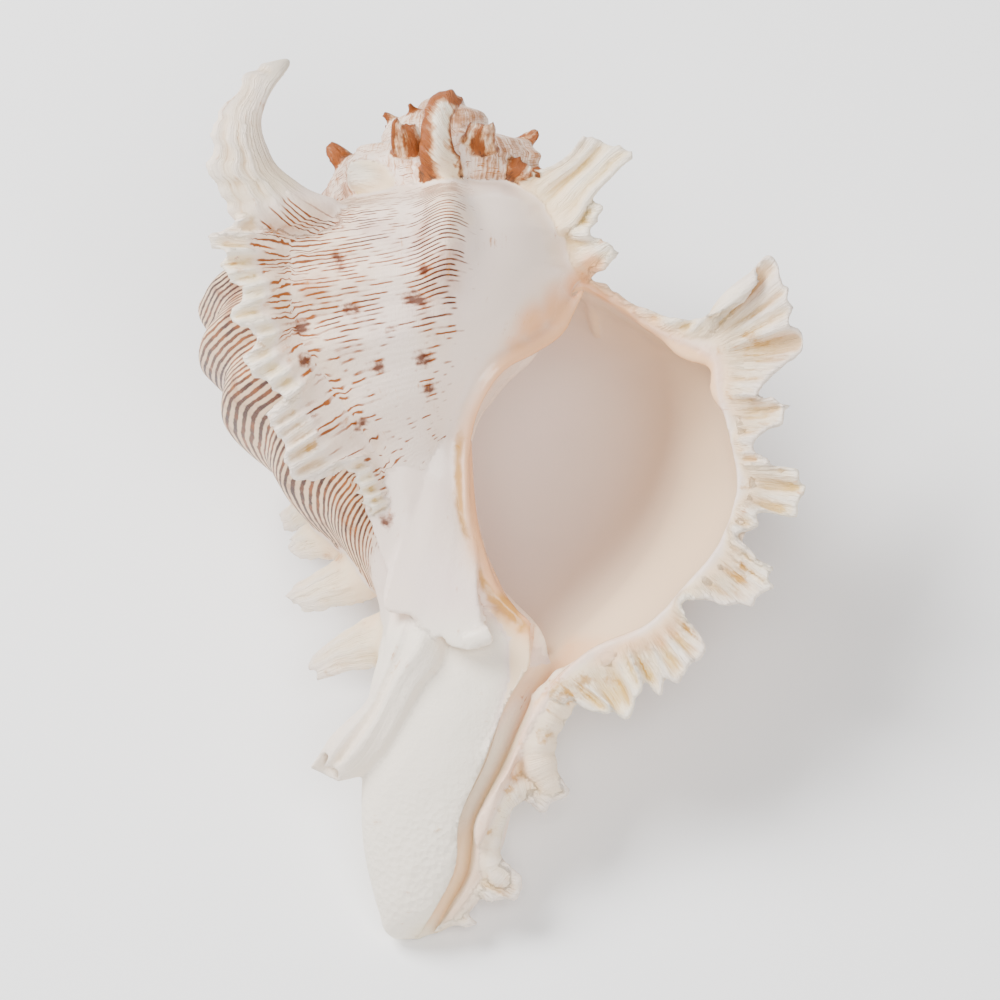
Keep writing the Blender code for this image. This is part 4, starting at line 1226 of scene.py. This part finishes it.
def shellMaterial():
    made = bpy.data.materials.new("shellGlaze")
    made.use_nodes = True
    tree = made.node_tree
    shader = tree.nodes["Principled BSDF"]
    w = Wire(tree)
    place = w.make("TexCoord", output="Object")
    turns, shares = w.attribute("growth"), w.attribute("share") + w.attribute("lift")
    furrow, tip, fronds = w.attribute("furrow"), w.attribute("tip"), w.attribute("frond")
    inside, brown, stripes = w.attribute("inner"), w.attribute("brown"), w.attribute("stripe")
    broad = w.noise(place, 34, 2)
    middling = w.noise(place, 110, 3, 0.6)
    fine = w.noise(place, 520, 3, 0.6)
    micro = w.noise(place, 1700, 1, 0.6)

    # the outside: spiral lines, broken into dashes where there are few of them, with stains and spots
    lineAt = shares * finish["lines"] + (broad - 0.5) * 2.2 + (middling - 0.5) * 0.9
    index = w.maths("FLOOR", lineAt)
    across = w.maths("ABSOLUTE", lineAt - index - 0.5) * 2
    dash = w.noise(w.place(turns * 46, index * 3.7), 1.0, 1)
    shown = (dash + (stripes - 0.5) * 0.75).smooth(0.47, 0.60)
    width = 0.21 + stripes * 0.27 + (fine - 0.5) * 0.3
    line = (width - across).smooth(-0.14, 0.14) * shown * stripes.smooth(0.02, 0.12)
    depthOfTone = (dash * 0.9 + stripes * 0.75 - 0.08 + (broad - 0.5) * 1.2).smooth(0.72, 1.22)
    lineColour = w.mix(depthOfTone, finish["orangeLine"], finish["maroonLine"])

    body = w.mix(stripes.smooth(0.3, 1.0) * 0.75, finish["outer"], finish["warm"])
    body = w.mix(broad.smooth(0.5, 0.75) * 0.5, body, finish["lilac"])
    stain = (middling * 0.7 + broad * 0.5).smooth(0.56, 0.76) * stripes.smooth(0.3, 0.9) * 0.6
    body = w.mix(stain, body, finish["orangeLine"])
    body = w.mix(line * 0.97, body, lineColour)
    spot = w.attribute("dark") + (fine - 0.5) * 1.1 - across * 0.25
    body = w.mix(spot.smooth(0.12, 0.5) * 0.6, body, finish["orangeLine"])
    body = w.mix(spot.smooth(0.35, 0.7) * 0.85, body, finish["spotBrown"])
    body = w.mix(w.attribute("canal"), body, finish["canal"])
    # painted shade: darker beige along the canal's slit
    body = w.mix(w.attribute("slit") * 0.85, body, finish["slit"])

    # fronds: cream, with ochre in the grooves and thin darker seams, painted shade in their folds and a
    # painted highlight on their crests
    along = w.place(furrow * 0.16, tip * 1.6, broad * 2)
    ridge = w.noise(along, 1.0, 3, 0.65)
    ridgeFine = w.noise(w.place(furrow * 0.75, tip * 3), 1.0, 1)
    outward = tip.smooth(0.04, 0.30)
    hollow = w.attribute("hollow")
    # the ochre grooves follow real streaks and are pushed into the mesh's hollows as painted shade
    groove = 0.56 - ridge + (0.5 - ridgeFine) * 0.35 + (broad - 0.5) * 0.8 + hollow * 0.22
    groove = groove.smooth(0.10, 0.45) * outward
    leafy = w.mix(groove * (0.35 + 0.6 * middling), finish["frond"], finish["groove"])
    # painted shade in the folds, then a painted highlight on the crests
    leafy = w.mix(hollow.smooth(0.1, 1.2) * (middling + 0.1) * 0.8, leafy, finish["hollow"])
    leafy = w.mix((0 - hollow).smooth(0.1, 1.3) * 0.6, leafy, finish["crest"])
    leafy = w.mix((1 - tip.smooth(0.1, 0.7)) * middling.smooth(0.2, 0.6) * 0.9, leafy, finish["mouth"])
    leafy = w.mix(tip.smooth(0.2, 0.9) * broad.smooth(0.4, 0.6) * 0.3, leafy, finish["lilac"])
    coat = w.mix(fronds.smooth(0.15, 0.75), body, leafy)

    ochre = (w.attribute("ochre") * 0.9 + groove * 0.5 + (fine - 0.5) * 1.4 - 0.1).smooth(0.45, 1.0)
    coat = w.mix(ochre * 0.7, coat, finish["ochre"])
    tan = brown * 1.2 + (ridge - 0.5) * 1.6 + (middling - 0.5) * 1.4 + (fine - 0.5) * 0.8
    # the spire's darker brown also gathers in the hollows as painted shade
    spireLine = (ridgeFine - 0.5) * 1.8 + (fine - 0.5) * 1.8 + (broad - 0.5) * 1.5 + hollow * 0.3
    browns = w.mix(spireLine.smooth(-0.3, 0.6), finish["spire"], finish["spireDark"])
    coat = w.mix(tan.smooth(0.28, 0.66) * 0.65, coat, finish["amber"])
    coat = w.mix(tan.smooth(0.50, 1.0) * 0.92, coat, browns)

    # the glazed inside, from the cream mouth to the grey-pink depth; its own pink, greyed further in as
    # painted shade
    glazed = w.mix(turns.smooth(0.04, 0.22), finish["mouth"], finish["inside"])
    # painted shade: greyer further into the aperture
    glazed = w.mix(turns.smooth(0.18, 0.60) * 0.9, glazed, finish["deep"])
    coat = w.mix(inside.smooth(0.25, 0.75), coat, glazed)
    peach = (w.attribute("peach") + (broad - 0.5) * 0.5).smooth(0.15, 0.95)
    coat = w.mix(peach * 0.8, coat, finish["peach"])
    strip = (w.attribute("strip") + (middling - 0.5) * 0.7).smooth(0.3, 0.9)
    coat = w.mix(strip * 0.75, coat, finish["ochre"])
    tree.links.new(coat.socket, shader.inputs["Base Color"])

    shine = w.attribute("glaze").smooth(0.1, 0.8)
    rough = 0.46 - shine * 0.24 + fronds * 0.06 + (fine - 0.5) * 0.12
    tree.links.new(rough.socket, shader.inputs["Roughness"])
    tree.links.new((shine * 0.35).socket, shader.inputs["Coat Weight"])
    shader.inputs["Coat Roughness"].default_value = 0.12
    shader.inputs["Specular IOR Level"].default_value = 0.3

    # relief too fine for the mesh
    plain = 1 - shine * 0.85
    cords = w.maths("COSINE", lineAt * (2 * math.pi)) * (1 - fronds) * (1 - inside)
    growthLines = w.noise(w.place(turns * 900, shares * 14), 1.0, 1)
    pitted = w.make("TexVoronoi", {"feature": "F1"}, {"Vector": place, "Scale": 640}, output="Distance")
    height = cords * 0.05 + growthLines * 0.30 * (1 - fronds)
    height = height + (ridge * 3.2 + ridgeFine * 1.1) * fronds * outward
    height = height + pitted * w.attribute("pits") * 0.8 + fine * 0.6 + micro * 0.22
    height = height * plain * (1 - w.attribute("seam"))
    bump = w.make("Bump", {}, {"Height": height, "Strength": 0.75, "Distance": 0.00045})
    tree.links.new(bump.socket, shader.inputs["Normal"])
    return made


shell.data.materials.clear()
shell.data.materials.append(shellMaterial())
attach(shell, "root")
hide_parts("shell")

# floor, light and camera
studio = {
    "viewDistance": 4.0,
    "frameWidth": 0.237,  # metres across the picture
    "floorSize": 6.0,
    "world": 0.31,
    # place, size, power
    "lights": (((-0.75, 0.40, 1.15), 0.75, 41), ((0.30, -0.85, 1.35), 0.9, 25)),
}
bpy.ops.object.select_all(action="DESELECT")
bpy.ops.mesh.primitive_plane_add(size=studio["floorSize"], location=(0, 0, -0.0002))
floor = bpy.context.object
floor.name = "floor"
paper = bpy.data.materials.new("floorPaper")
paper.use_nodes = True
paperShader = paper.node_tree.nodes["Principled BSDF"]
w = Wire(paper.node_tree)
grain = w.noise(w.make("TexCoord", output="Object"), 60, 3)
tone = w.mix(grain, (0.96, 0.96, 0.96, 1), (0.98, 0.98, 0.98, 1))
paper.node_tree.links.new(tone.socket, paperShader.inputs["Base Color"])
paperShader.inputs["Roughness"].default_value = 0.8
floor.data.materials.append(paper)

turn = Euler([math.radians(a) for a in grid["restTurn"]]).to_matrix()
aim = Vector(layDown([[grid["middle"], grid["middle"], 0]])[0])
bpy.ops.object.camera_add(location=aim + turn @ Vector((0, 0, studio["viewDistance"])))
camera = bpy.context.object
camera.rotation_euler = turn.to_euler()
camera.data.lens = camera.data.sensor_width * studio["viewDistance"] / studio["frameWidth"]
bpy.context.scene.camera = camera

world = bpy.data.worlds.new("studio")
world.use_nodes = True
world.node_tree.nodes["Background"].inputs["Color"].default_value = (1, 1, 1, 1)
world.node_tree.nodes["Background"].inputs["Strength"].default_value = studio["world"]
bpy.context.scene.world = world
for place, size, power in studio["lights"]:
    bpy.ops.object.light_add(type="AREA", location=place)
    light = bpy.context.object
    light.data.size = size
    light.data.energy = power
    light.rotation_euler = Vector(place).to_track_quat("Z", "Y").to_euler()
print("studio set")
